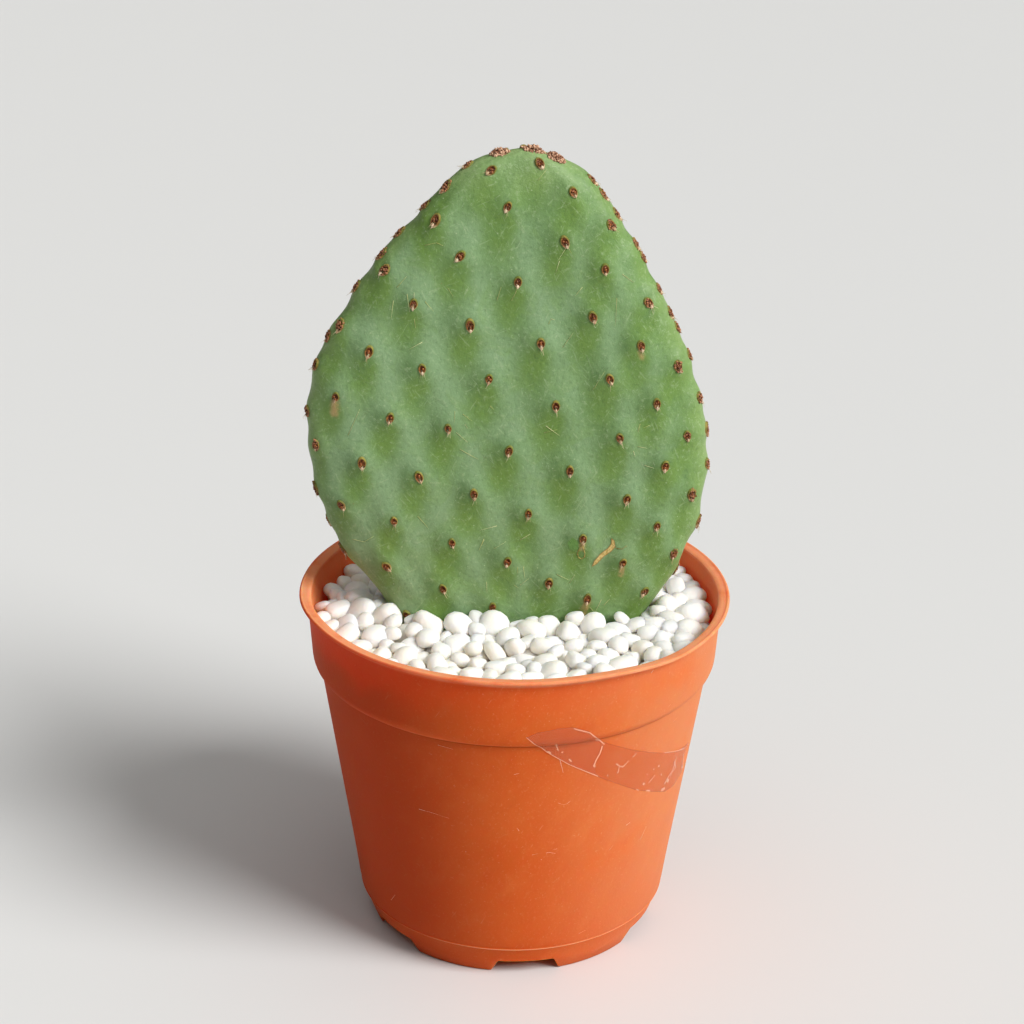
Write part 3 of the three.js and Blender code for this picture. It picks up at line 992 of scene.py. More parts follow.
def topSpot(patch, rng):
    # a spot of the patch, heaped towards its middle, on the skin's top edge
    reach, turn = math.sqrt(rng.random()), rng.uniform(0, 2 * math.pi)
    (left, right), (front, back) = patch["x"], patch["y"]
    x = (left + right) / 2 + (right - left) / 2 * reach * math.sin(turn)
    y = (front + back) / 2 + (back - front) / 2 * reach * math.cos(turn)
    place, normal, _, _ = skinTree.ray_cast(Vector((x * mm, y * mm, 0.25)), Vector((0, 0, -1)))
    return place / mm + normal * patch["rise"] * (1 - reach ** 2) * rng.random()


makeAreoles()
print("areoles done")


# Loose glochid hairs lying on the skin, and its old scars

looseHairs = {
    "groups": 34,  # strewn at random, most of them on the back
    "perGroup": (1, 5),
    "spread": 3.2,
    "across": (-34, 36),
    "up": (84, 176),
    "edgeGap": 5,
    "length": (1.2, 4.2),
    "radius": 0.06,
    "lift": 0.06,
    "seed": 5,
    # where the photograph shows them on the front, in its pixels
    "seen": [
        [(538, 181), (546, 171)], [(424.7, 246), (436.6, 243.2), (443, 246)], [(397, 288), (406.3, 277.4)],
        [(511.6, 301), (516.8, 290.5)], [(497, 301), (501, 288)], [(622, 274.7), (632.6, 282.6)],
        [(616.8, 298.4), (615.5, 324.7)], [(548.4, 324.7), (551, 319.5), (555, 320.8)],
        [(593.7, 389.6), (604.3, 372)], [(562.6, 348), (572.8, 334)], [(546, 426.7), (559, 436)],
        [(544, 433.7), (556.6, 430.4)], [(460, 450), (477.8, 460)], [(417.5, 517), (428, 528.7)],
        [(352.6, 539.4), (364, 542.6), (373.5, 537)], [(348, 436), (359.5, 410.5)],
        [(494, 549.6), (505.6, 542.6)], [(520, 586), (528.8, 579.5)],
        [(569.5, 583.8), (575, 575)], [(603.8, 606), (609.5, 600)], [(520, 541), (530, 535)],
    ],
}


def alongSkin(path, radius, lift):
    # placings of thin hairs that follow a path of the photograph's pixels over the front of the skin
    placings = []
    frames = [skinFrame(*onFace(*pixel)) for pixel in path]
    for (root, outward, _), (end, endOutward, _) in zip(frames, frames[1:]):
        start = root + outward * lift
        step = end + endOutward * lift - start
        placings.append(hairPlacing(start, step, outward, step.length * 1.04, radius))
    return placings


def makeLooseHairs():
    rng = random.Random(looseHairs["seed"])
    radius, edgeGap = looseHairs["radius"], looseHairs["edgeGap"]
    placings = []
    for path in looseHairs["seen"]:
        placings += alongSkin(path, radius * rng.uniform(0.9, 1.5), looseHairs["lift"])
    for group in range(looseHairs["groups"]):
        back = group % 4 > 0
        centreX, centreZ = rng.uniform(*looseHairs["across"]), rng.uniform(*looseHairs["up"])
        lean = rng.uniform(-0.9, 0.9)
        for _ in range(rng.randint(*looseHairs["perGroup"])):
            x = centreX + rng.gauss(0, looseHairs["spread"])
            z = centreZ + rng.gauss(0, looseHairs["spread"])
            left, right = padEdges(z)
            if not left + edgeGap < x < right - edgeGap or z < pebbleTop:
                continue
            place, outward, downward = skinFrame(z, float(spotAngle(x, z, back)))
            across = downward.cross(outward)
            turn = lean + rng.gauss(0, 0.45)
            direction = downward * math.cos(turn) + across * math.sin(turn) + outward * 0.04
            bendTo = across * rng.choice((-1, 1))
            root = place + outward * radius * 0.6
            length = rng.uniform(*looseHairs["length"])
            placings.append(hairPlacing(root, direction, bendTo, length, radius))
    straw = plainFinish("looseStraw", (184, 188, 108), (222, 222, 170), 0.0012, 0.42, 0.00003)
    bent = [hairTemplate(0.0), hairTemplate(0.12), hairTemplate(0.3)]
    addCopies("looseHairs", bent, placings, 8, straw)


def flatPatch(outline, step):
    # a flat outline in x and z, cut into a grid so that it can follow a curved surface
    bm = bmesh.new()
    corners = [bm.verts.new((x, 0, z)) for x, z in outline]
    bm.faces.new(corners)
    for axis in (0, 2):
        low = min(point[axis // 2] for point in outline)
        high = max(point[axis // 2] for point in outline)
        normal = (1, 0, 0) if axis == 0 else (0, 0, 1)
        for place in np.arange(low + step, high, step):
            parts = list(bm.verts) + list(bm.edges) + list(bm.faces)
            bmesh.ops.bisect_plane(bm, geom=parts, plane_co=Vector(normal) * float(place), plane_no=normal)
    return bm


def skinPatch(name, outline, step, lift, material):
    # a thin flake that lies on the front of the skin, with how near each point is to its edge
    bm = flatPatch(outline, step)
    flat = asArray(v.co for v in bm.verts)
    angles = spotAngle(flat[:, 0], flat[:, 2])
    places = skinPoint(flat[:, 2], angles) + padNormal(flat[:, 2], angles) * lift
    for vertex, place in zip(bm.verts, places):
        vertex.co = place * mm
    bmesh.ops.recalc_face_normals(bm, faces=bm.faces)
    mesh = finishMesh(bm, name)
    away = distanceTo(flat[:, (0, 2)], outline + outline[:1])
    setAttribute(mesh, "edge", np.clip(1 - away / 0.3, 0, 1))
    return addObject(name, mesh, [material])


scars = {
    # mm on the front face
    "sliver": [
        (17.6, 92.3), (18.7, 93.0), (20.3, 94.9), (22.0, 96.3), (22.9, 97.4), (22.6, 99.0),
        (21.9, 99.6), (21.9, 98.2), (21.2, 97.1), (19.4, 95.6), (18.1, 93.8),
    ],
    "greenFlake": [(11.9, 98.4), (13.0, 99.9), (14.3, 98.9), (14.5, 96.9), (13.3, 96.2), (12.3, 96.9)],
    # the photograph's pixels
    "curl": [
        (582.5, 545), (579, 549.5), (577.4, 554), (578.6, 558), (581.5, 559.6), (584.4, 557.6), (585, 553.5),
        (583.6, 549.5), (582.5, 545),
    ],
    "tail": [(612, 545), (617, 549), (622, 549.4), (627, 546)],
    "scratch": [(327, 365), (340, 371), (353, 378), (365, 382)],
}


def scarFinish(name, edgeTone, dark, light):
    paint = Finish(name)
    grain = paint.mottle(0.0008, detail=4, roughness=0.7)
    colour = paint.mix(paint.between(grain, 0.35, 0.65), tone(*dark), tone(*light))
    edge = paint.between(paint.read("edge") + grain * 0.3, 0.45, 0.95)
    colour = paint.mix(edge * 0.8, colour, tone(*edgeTone))
    relief = paint.bump(grain, 0.0002)
    return paint.surface({"Base Color": colour, "Roughness": 0.5 + grain * 0.2, "Normal": relief})


def makeScars():
    cork = scarFinish("corkScar", (138, 98, 40), (188, 156, 82), (224, 202, 134))
    fresh = scarFinish("freshGreen", (98, 140, 66), (92, 138, 62), (106, 150, 74))
    skinPatch("corkScar", scars["sliver"], 0.25, 0.12, cork)
    skinPatch("freshFlake", scars["greenFlake"], 0.5, 0.04, fresh)
    curls = alongSkin(scars["curl"], 0.15, 0.05) + alongSkin(scars["tail"], 0.09, 0.08)
    husk = plainFinish("driedHusk", (146, 118, 46), (204, 180, 104), 0.0007, 0.55, 0.00025)
    addCopies("curledScar", [hairTemplate(0.0)], curls, 9, husk)
    dark = plainFinish("darkScratch", (78, 84, 44), (104, 104, 60), 0.001, 0.5, 0.00003)
    line = alongSkin(scars["scratch"], 0.05, 0.0)
    addCopies("skinScratch", [hairTemplate(0.0)], line, 10, dark)


makeLooseHairs()
makeScars()
print("loose hairs and scars done")


# Young roots, out of sight in the mix

roots = {
    "count": 5,
    "length": 30,  # mm
    "radius": 1.9,
    "tip": 0.5,
    "start": 66,
    "spread": 24,
    "fan": 68,  # degrees
    "stagger": 14,
}


def makeRoots():
    bm = bmesh.new()
    for i in range(roots["count"]):
        share = i / (roots["count"] - 1) - 0.5
        stagger = roots["stagger"] if i % 2 else -roots["stagger"]
        turned = Matrix.Rotation(math.radians(stagger), 4, "X")
        turned = turned @ Matrix.Rotation(math.radians(-roots["fan"] * share), 4, "Y")
        place = Matrix.Translation((roots["spread"] * share, 0, roots["start"]))
        hang = Matrix.Translation((0, 0, -roots["length"] / 2))
        bmesh.ops.create_cone(
            bm, cap_ends=True, segments=12, radius1=roots["tip"], radius2=roots["radius"],
            depth=roots["length"], matrix=Matrix.Scale(mm, 4) @ place @ turned @ hang,
        )
    mesh = finishMesh(bm, "youngRoots", sharpAngle=50)
    setAttribute(mesh, "lot", np.full(len(mesh.vertices), 0.5))
    skin = plainFinish("rootSkin", (150, 124, 88), (206, 186, 150), 0.002, 0.7, 0.0004)
    addObject("youngRoots", mesh, [skin])


makeRoots()


# The pot, spun from its wall's profile, with its foot ring cut into six feet

pot = {
    "steps": 144,
    # radius and height in mm: foot ring, flash line, wall, step, collar and lip, then down the inside
    "profile": [
        (0, 3.7), (31.1, 3.7), (31.62, 0.3), (31.9, 0), (33.0, 0), (33.35, 0.25), (34.7, 3.7), (36.12, 7.7),
        (36.42, 7.8), (36.5, 7.92), (36.42, 8.05), (36.33, 8.15), (36.62, 9.1), (36.88, 10.4), (37.1, 12),
        (38.1, 19), (41.8, 42.8), (45.4, 66.0), (45.46, 66.5), (45.85, 66.72), (46.4, 67.15), (46.85, 67.8),
        (47.1, 68.5), (47.2, 69.2), (47.7, 76), (48.15, 81.6), (48.4, 82.2), (48.8, 82.45), (49.6, 82.5),
        (49.88, 82.62), (50, 82.85), (50, 83.05), (49.88, 83.28), (49.65, 83.4), (49.42, 83.36),
        (49.25, 83.22), (49.05, 83.16), (48.3, 83.2), (47.75, 83.15), (47.42, 82.95), (47.3, 82.6),
        (46.2, 69), (45.8, 68.1), (45.1, 67.4), (44.5, 66.8), (40.8, 42.9), (37.1, 19.1), (35.9, 11),
        (35.2, 8), (34.5, 6), (33, 4.9), (0, 4.9),
    ],
    # the soft lip is bent up at the front left: by how many mm, from what height on, over how many
    # degrees each side of the middle it stays up, and over how many more it comes down
    "lipLift": {"height": 1.25, "start": 67.5, "rise": 15, "middle": -20, "flat": 40, "fade": 32},
    "feet": 6,
    "firstFoot": -24,  # degrees round from the front
    # the left half of a gap between two feet, and how far out the gap starts and how long it is
    "gapHalf": [(-9.0, -0.4), (-8.15, 0.1), (-7.7, 0.75), (-6.75, 3.2), (-6.45, 3.7)],
    "gapStart": 16,
    "gapLength": 22,
    "drain": {"count": 6, "radius": 3.5, "ring": 22, "middle": 4.3, "depth": 6},
    # the outer wall alone, for what is stuck to it or scratched into it
    "wall": [(36.9, 10), (38.1, 19), (45.4, 66.0), (45.9, 66.7), (46.9, 67.9), (47.2, 69.2), (48.15, 81.6)],
}
wallRadii, wallHeights = np.array(pot["wall"]).T

potLook = {
    "orange": (226, 102, 42),
    "deeperCloud": (218, 90, 32),
    "paleFlow": (235, 122, 62),
    "deepFlow": (211, 80, 26),
    "grain": (238, 150, 100),
    "fineScratch": (244, 176, 132),
    "speck": (248, 200, 166),
    "smallSpeck": (246, 182, 140),
    "dirt": (96, 40, 18),
    "lipDustAndSheen": (244, 172, 130),
    "flash": (248, 184, 146),
    "stepShadeLine": (140, 48, 16),
    "paintedLitSide": (216, 144, 102),
    "paintedShadedSide": (172, 50, 10),
    "foot": (184, 70, 26),
}


def onWall(pixelX, pixelY):
    # turn round from the front, and height in mm, of the spot on the outer wall that a pixel shows
    start, ray = pixelRay(pixelX, pixelY)
    radius = wallRadii[2]
    for _ in range(8):
        square = ray.x ** 2 + ray.y ** 2
        half = start.x * ray.x + start.y * ray.y
        rest = start.x ** 2 + start.y ** 2 - radius ** 2
        point = start - ray * (half + math.sqrt(max(0, half ** 2 - square * rest))) / square
        radius = np.interp(point.z, wallHeights, wallRadii)
    return math.atan2(point.x, -point.y), point.z


def wallPoint(turn, height, lift):
    radius = np.interp(height, wallHeights, wallRadii) + lift
    return Vector((radius * math.sin(turn), -radius * math.cos(turn), height))


def potCutters():
    bm = bmesh.new()
    right = [(-x, z) for x, z in reversed(pot["gapHalf"])]
    for i in range(pot["feet"]):
        corners = [bm.verts.new((x, -pot["gapStart"], z)) for x, z in pot["gapHalf"] + right]
        face = bm.faces.new(corners)
        grown = bmesh.ops.extrude_face_region(bm, geom=[face])["geom"]
        moved = [item for item in grown if isinstance(item, bmesh.types.BMVert)]
        bmesh.ops.translate(bm, verts=moved, vec=(0, -pot["gapLength"], 0))
        angle = math.radians(pot["firstFoot"] + (i + 0.5) * 360 / pot["feet"])
        turned = Matrix.Rotation(angle, 3, "Z")
        bmesh.ops.rotate(bm, verts=corners + moved, cent=(0, 0, 0), matrix=turned)
    hole = pot["drain"]
    for i in range(hole["count"]):
        angle = 2 * math.pi * i / hole["count"]
        place = (hole["ring"] * math.cos(angle), hole["ring"] * math.sin(angle), hole["middle"])
        bmesh.ops.create_cone(
            bm, cap_ends=True, segments=32, radius1=hole["radius"], radius2=hole["radius"],
            depth=hole["depth"], matrix=Matrix.Translation(place),
        )
    bmesh.ops.recalc_face_normals(bm, faces=bm.faces)
    return finishMesh(bm, "potCutters")


def potFinish():
    paint = Finish("potPlastic")
    look = tones(potLook)
    cloudy = paint.mottle(0.02, detail=3)
    flow = paint.mottle(0.006, at=paint.stretch((1, 1, 2.2), turn=(0, 0.5, 0)), detail=5, roughness=0.6)
    grain = paint.mottle(0.0007, detail=3, roughness=0.7)
    height = paint.level()
    colour = paint.mix(paint.between(cloudy, 0.3, 0.7) * 0.6, look["orange"], look["deeperCloud"])
    colour = paint.mix(paint.between(flow, 0.5, 0.75) * 0.35, colour, look["paleFlow"])
    colour = paint.mix(paint.between(flow, 0.45, 0.3) * 0.3, colour, look["deepFlow"])
    colour = paint.mix(paint.between(grain, 0.54, 0.72) * 0.24, colour, look["grain"])
    for turn in ((0.3, 0.5, 0), (1.2, -0.4, 0.6), (0.4, 1.4, 1.5), (2.0, 0.2, 0.9)):
        line = paint.mottle(0.0006, at=paint.stretch((1, 1, 12), turn=turn), detail=1)
        colour = paint.mix(paint.between(line, 0.72, 0.8) * 0.28, colour, look["fineScratch"])
    colour = paint.mix(paint.specks(0.0055, 0.035, 0.22) * 0.6, colour, look["speck"])
    colour = paint.mix(paint.specks(0.0022, 0.055, 0.2) * 0.5, colour, look["smallSpeck"])
    colour = paint.mix(paint.specks(0.014, 0.014, 0.2) * 0.8, colour, look["dirt"])
    # the top of the lip is paler: dust, and a painted sheen on its upward face
    lipDustAndSheenMask = paint.between(height, 0.0822, 0.0828) * paint.between(flow, 0.15, 0.6)
    colour = paint.mix(lipDustAndSheenMask * 0.6, colour, look["lipDustAndSheen"])
    flash = paint.between(height, 0.00772, 0.00785) * paint.between(height, 0.00808, 0.00795)
    colour = paint.mix(flash * paint.between(flow, 0.25, 0.5) * 0.7, colour, look["flash"])
    # painted shade: a thin dark line in the crease at the foot of the step
    stepShadeLine = paint.between(height, 0.0661, 0.0664) * paint.between(height, 0.0668, 0.0666)
    colour = paint.mix(stepShadeLine * 0.45, colour, look["stepShadeLine"])
    # painted light and shade: the side facing right, towards the light, is painted paler, and the side
    # facing away from it darker
    facing = paint.read("facing")
    paintedLitSide = paint.between(facing, 0, 0.9) * paint.between(cloudy, 0.1, 0.55)
    colour = paint.mix(paintedLitSide * 0.5, colour, look["paintedLitSide"])
    colour = paint.mix(paint.between(facing, 0.1, -0.75) * 0.8, colour, look["paintedShadedSide"])
    colour = paint.mix(paint.between(height, 0.045, 0.0) * 0.3, colour, look["foot"])
    rough = 0.46 + grain * 0.12 + cloudy * 0.08 + lipDustAndSheenMask * 0.08
    relief = paint.bump(grain * 0.6 + flow * 0.6, 0.0001)
    return paint.surface({
        "Base Color": colour,
        "Roughness": rough,
        "Normal": relief,
        "Specular IOR Level": 0.06,
        "Subsurface Weight": 0.6,
        "Subsurface Radius": (0.0045, 0.0009, 0.0003),
        "Subsurface Scale": 1.0,
    })


def spinPot():
    # in millimetres, because the boolean that cuts it fails on parts as small as this in metres
    bm = bmesh.new()
    line = [bm.verts.new((radius, 0, height)) for radius, height in pot["profile"]]
    edges = [bm.edges.new(pair) for pair in zip(line, line[1:])]
    bmesh.ops.spin(
        bm, geom=line + edges, cent=(0, 0, 0), axis=(0, 0, 1), dvec=(0, 0, 0), angle=2 * math.pi,
        steps=pot["steps"], use_merge=True, use_duplicate=False,
    )
    bmesh.ops.remove_doubles(bm, verts=bm.verts, dist=0.001)
    bmesh.ops.recalc_face_normals(bm, faces=bm.faces)
    return finishMesh(bm, "potWhole")


def cutAway(wholeMesh, cutterMesh):
    whole = bpy.data.objects.new("potWhole", wholeMesh)
    cutter = bpy.data.objects.new("potCutter", cutterMesh)
    for part in (whole, cutter):
        bpy.context.scene.collection.objects.link(part)
    cut = whole.modifiers.new("cut", "BOOLEAN")
    cut.operation = "DIFFERENCE"
    cut.solver = "EXACT"
    cut.object = cutter
    carved = whole.evaluated_get(bpy.context.evaluated_depsgraph_get())
    bm = bmesh.new()
    bm.from_mesh(bpy.data.meshes.new_from_object(carved))
    for part in (whole, cutter):
        bpy.data.objects.remove(part)
    bmesh.ops.remove_doubles(bm, verts=bm.verts, dist=0.002)
    return bm


def bendLip(bm):
    bend = pot["lipLift"]
    for vert in bm.verts:
        away = abs(math.degrees(math.atan2(vert.co.x, -vert.co.y)) - bend["middle"])
        share = min(1, max(0, 1 - (away - bend["flat"]) / bend["fade"]))
        climb = min(1, max(0, (vert.co.z - bend["start"]) / bend["rise"]))
        vert.co.z += bend["height"] * share ** 2 * (3 - 2 * share) * climb


def makePot():
    bm = cutAway(spinPot(), potCutters())
    bendLip(bm)
    bmesh.ops.scale(bm, verts=bm.verts, vec=(mm, mm, mm))
    mesh = finishMesh(bm, "potBody", sharpAngle=38)
    # how far each point faces right, and the same middling value all over the inside, which paints the
    # inside paler too, as painted light
    facing = []
    for vertex in mesh.vertices:
        inside = vertex.normal.x * vertex.co.x + vertex.normal.y * vertex.co.y < 0
        facing.append(0.7 if inside else vertex.normal.x)
    setAttribute(mesh, "facing", facing)
    body = addObject("potBody", mesh, [potFinish()])
    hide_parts("pot")


makePot()

# Pale scuffs on the wall, where the photograph shows them, in its pixels
scuffs = {
    "paths": [
        [(558, 803), (563, 804.6), (567, 804), (570, 801)], [(609.5, 850), (612.8, 845.5)],
        [(546, 853), (550, 852.4), (555, 853.4)], [(626, 825.2), (630, 822.4)], [(579, 933.6), (585, 930.3)],
        [(673.4, 721.6), (677.2, 717.3)], [(668, 707), (670.4, 704.6)], [(419, 809), (433, 813), (448, 818)],
        [(514, 774.6), (519, 773.4)], [(391, 900), (395, 895)], [(651, 673), (653.4, 670)],
        [(519, 831), (517, 828)], [(532, 855), (556, 849)], [(560, 760), (563, 772)],
        [(640, 840), (646, 827)], [(438, 745), (452, 749)],
    ],
    "halfWidth": (0.05, 0.11),
    "seed": 31,
}


def makeScuffs():
    rng = random.Random(scuffs["seed"])
    placings = []
    for path in scuffs["paths"]:
        spots = [wallPoint(*onWall(*pixel), 0.01) for pixel in path]
        width = rng.uniform(*scuffs["halfWidth"])
        for start, end in zip(spots, spots[1:]):
            step = end - start
            outward = Vector((start.x, start.y, 0)).normalized()
            placings.append(hairPlacing(start, step, outward, step.length * 1.05, width))
    pale = plainFinish("paleScuff", (236, 150, 104), (252, 208, 178), 0.0006, 0.6, 0.00005)
    addCopies("potScuffs", [hairTemplate(0.0)], placings, 12, pale)


makeScuffs()
print("pot done")


# Pebbles, dropped one by one into the space round the pad

pebbleBed = {
    "seed": 7,
    "floor": 71.2,  # mm, height at the wall of what the stones lie on
    "crown": 1.6,  # how much higher it is in the middle
    "radius": 47,
    "spread": 46.9,  # how far out the side of a stone may be dropped
    "bore": [(66.8, 44.5), (69, 46.2), (82.6, 47.3)],  # height and radius of the pot's inner wall
    "bedding": 74.2,
    "beddingRadius": 45.4,
    "beddingCell": 3.4,
    "wallTop": 79.6,  # height of the stones' tops at the pot's wall
    "padTop": 82.5,  # and at the pad
    "padReach": (3, 16),  # distances from the pad between which the tops fall from one to the other
    "padGap": 0.4,
    "rightRise": 1.2,  # how much higher they lie against the wall on the right
    "cover": {"near": 3.2, "above": 2.2},  # two such neighbours put a stone in the lower layer
    "stones": {"halfLength": (2.8, 4.5), "lowered": 0, "giveUp": 110},
    "fillers": {"halfLength": (2.1, 3.0), "lowered": 0.7, "giveUp": 120},
    "flatness": (0.72, 0.97),
    "trials": 24,
    "closeness": 0.8,
    "shapes": 14,
    "boxy": (0.05, 0.5),  # how far a stone leaves the ball for the box
}
boreHeights, boreRadii = np.array(pebbleBed["bore"]).T

stoneLook = {
    "white": (248, 245, 239),
    "offWhite": (243, 237, 226),
    "lowStoneShade": (240, 226, 206),
    "cloud": (238, 229, 214),
    "grain": (222, 212, 198),
    "rust": (150, 110, 74),
}


def restingHeight(x, y, distance, reach, stones):
    # on the floor of the bed, or on the stones below
    inwards = 1 - distance / pebbleBed["radius"]
    z = pebbleBed["floor"] + reach * 0.6 + pebbleBed["crown"] * inwards
    away = (stones[:, 0] - x) ** 2 + (stones[:, 1] - y) ** 2
    touch = ((stones[:, 3] + reach) * pebbleBed["closeness"]) ** 2
    under = away < touch
    if under.any():
        z = max(z, (stones[under, 2] + np.sqrt(touch[under] - away[under])).max())
    return z


def insidePad(x, y, z):
    left, right = padEdges(z)
    share = (x - (left + right) / 2) * 2 / (right - left)
    depth = pad["halfThickness"] * blunt((z - padMiddle) / padHalfHeight) * blunt(min(1, abs(share)))
    return abs(share) < 1 and abs(y) < depth + pebbleBed["padGap"]


def lowestSpot(reach, lowered, rng, obstacles, stones):
    # the lowest of a few random spots, if any of them has room
    best = None
    for _ in range(pebbleBed["trials"]):
        angle = rng.uniform(0, 2 * math.pi)
        distance = math.sqrt(rng.random()) * (pebbleBed["spread"] - reach)
        x, y = distance * math.sin(angle), distance * math.cos(angle)
        z = restingHeight(x, y, distance, reach, stones)
        if distance + reach * 0.95 > np.interp(z, boreHeights, boreRadii) or insidePad(x, y, z):
            continue
        gap = np.linalg.norm(obstacles - (x, y, z), axis=1).min()
        wallTop = pebbleBed["wallTop"] + pebbleBed["rightRise"] * max(0, x / 40)
        top = np.interp(gap, pebbleBed["padReach"], (pebbleBed["padTop"], wallTop))
        if gap < reach * 0.9 + 0.3 or z + reach > top - lowered:
            continue
        if best is None or z < best[2]:
            best = (x, y, z)
    return best


def dropPebbles():
    rng = random.Random(pebbleBed["seed"])
    levels, turns = np.meshgrid(np.arange(66, 86, 1.5), np.linspace(0, 2 * math.pi, 72, endpoint=False))
    obstacles = padPoint(levels.ravel(), turns.ravel())
    stones, sizes = np.zeros((0, 4)), []
    for kind in (pebbleBed["stones"], pebbleBed["fillers"]):
        misses = 0
        while misses < kind["giveUp"]:
            half = rng.triangular(*kind["halfLength"])
            wide = half * rng.uniform(*pebbleBed["flatness"])
            flat = wide * rng.uniform(*pebbleBed["flatness"])
            reach = (half * wide * flat) ** (1 / 3)
            spot = lowestSpot(reach, kind["lowered"], rng, obstacles, stones)
            if spot is None:
                misses += 1
                continue
            misses = 0
            stones = np.vstack([stones, (*spot, reach)])
            sizes.append((half, wide, flat))
    return stones, sizes


def pebbleTemplate(number):
    # a cube rounded towards a ball, and swollen here and there
    bm = bmesh.new()
    bmesh.ops.create_cube(bm, size=2)
    bmesh.ops.subdivide_edges(bm, edges=bm.edges, cuts=1, use_grid_fill=True)
    shift = Vector((number * 3.7, number * 1.9, number * 5.3))
    low, high = pebbleBed["boxy"]
    boxy = low + (high - low) * (number % 5) / 4
    for vert in bm.verts:
        ball = vert.co.normalized()
        swell = 1.14 * (1 + 0.4 * noise.noise(ball * 1.25 + shift))
        vert.co = ball.lerp(vert.co * 0.82, boxy) * swell
    return finishMesh(bm, "pebble")


def pebbleFinish():
    paint = Finish("pebbleStone")
    look = tones(stoneLook)
    cloudy = paint.mottle(0.006, detail=3)
    grain = paint.mottle(0.0009, detail=4, roughness=0.7)
    colour = paint.mix(paint.read("lot"), look["white"], look["offWhite"])
    # painted warm shade on the lower stones, down between the others
    colour = paint.mix(paint.between(paint.level(), 0.079, 0.0745) * 0.35, colour, look["lowStoneShade"])
    colour = paint.mix(paint.between(cloudy, 0.5, 0.75) * 0.4, colour, look["cloud"])
    colour = paint.mix(paint.between(grain, 0.6, 0.75) * 0.25, colour, look["grain"])
    colour = paint.mix(paint.specks(0.0075, 0.03, 0.25) * 0.75, colour, look["rust"])
    relief = paint.bump(grain + cloudy * 0.6, 0.00014)
    return paint.surface({
        "Base Color": colour,
        "Roughness": 0.52 + grain * 0.16,
        "Normal": relief,
        "Subsurface Weight": 0.55,
        "Subsurface Radius": (0.0055, 0.0042, 0.0027),
        "Subsurface Scale": 1.0,
    })


def makeBedding():
    # the small stones deep in the gaps, as one lumpy sheet in dim tan: painted warm shade between the stones
    bm = bmesh.new()
    bmesh.ops.create_grid(bm, x_segments=110, y_segments=110, size=46)
    beyond = [vert for vert in bm.verts if math.hypot(vert.co.x, vert.co.y) > pebbleBed["beddingRadius"]]
    bmesh.ops.delete(bm, geom=beyond, context="VERTS")
    for vert in bm.verts:
        nearest = noise.voronoi(vert.co / pebbleBed["beddingCell"])[0][0]
        lump = 1.5 * (0.6 - nearest) + 0.5 * noise.noise(vert.co / 2)
        vert.co.z = pebbleBed["bedding"] + lump
    bmesh.ops.scale(bm, verts=bm.verts, vec=(mm, mm, mm))
    mesh = finishMesh(bm, "pebbleBedding")
    setAttribute(mesh, "lot", np.full(len(mesh.vertices), 0.6))
    # painted warm shade: a tan tone for the sheet under the stones
    grit = plainFinish("pebbleGapShade", (176, 148, 116), (232, 216, 192), 0.002, 0.7, 0.0003)
    addObject("pebbleBedding", mesh, [grit])


def makePebbles():
    rng = random.Random(pebbleBed["seed"] + 1)
    stones, sizes = dropPebbles()
    cover = pebbleBed["cover"]
    upper, lower = [], []
    for (x, y, z, reach), (half, wide, flat) in zip(stones, sizes):
        lean = Matrix.Rotation(rng.gauss(0, 0.35), 4, "X") @ Matrix.Rotation(rng.gauss(0, 0.35), 4, "Y")
        turned = lean @ Matrix.Rotation(rng.uniform(0, 2 * math.pi), 4, "Z")
        spread = Matrix.Diagonal((half, wide, flat, 1))
        placing = Matrix.Scale(mm, 4) @ Matrix.Translation((x, y, z)) @ turned @ spread
        near = np.hypot(stones[:, 0] - x, stones[:, 1] - y) < cover["near"]
        covered = near & (stones[:, 2] > z + cover["above"])
        (lower if covered.sum() > 1 else upper).append(placing)
    shapes = [pebbleTemplate(i) for i in range(pebbleBed["shapes"])]
    stone = pebbleFinish()
    top = addCopies("topPebbles", shapes, upper, 21, stone)
    under = addCopies("underPebbles", shapes, lower, 22, stone)
    for piece in (top, under):
        addLevels(piece, 1)
    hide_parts("pebbles")
    print("pebbles:", len(upper), "on top and", len(lower), "under them")


makeBedding()
makePebbles()


# The scrap of clear tape, stuck over the step in the wall

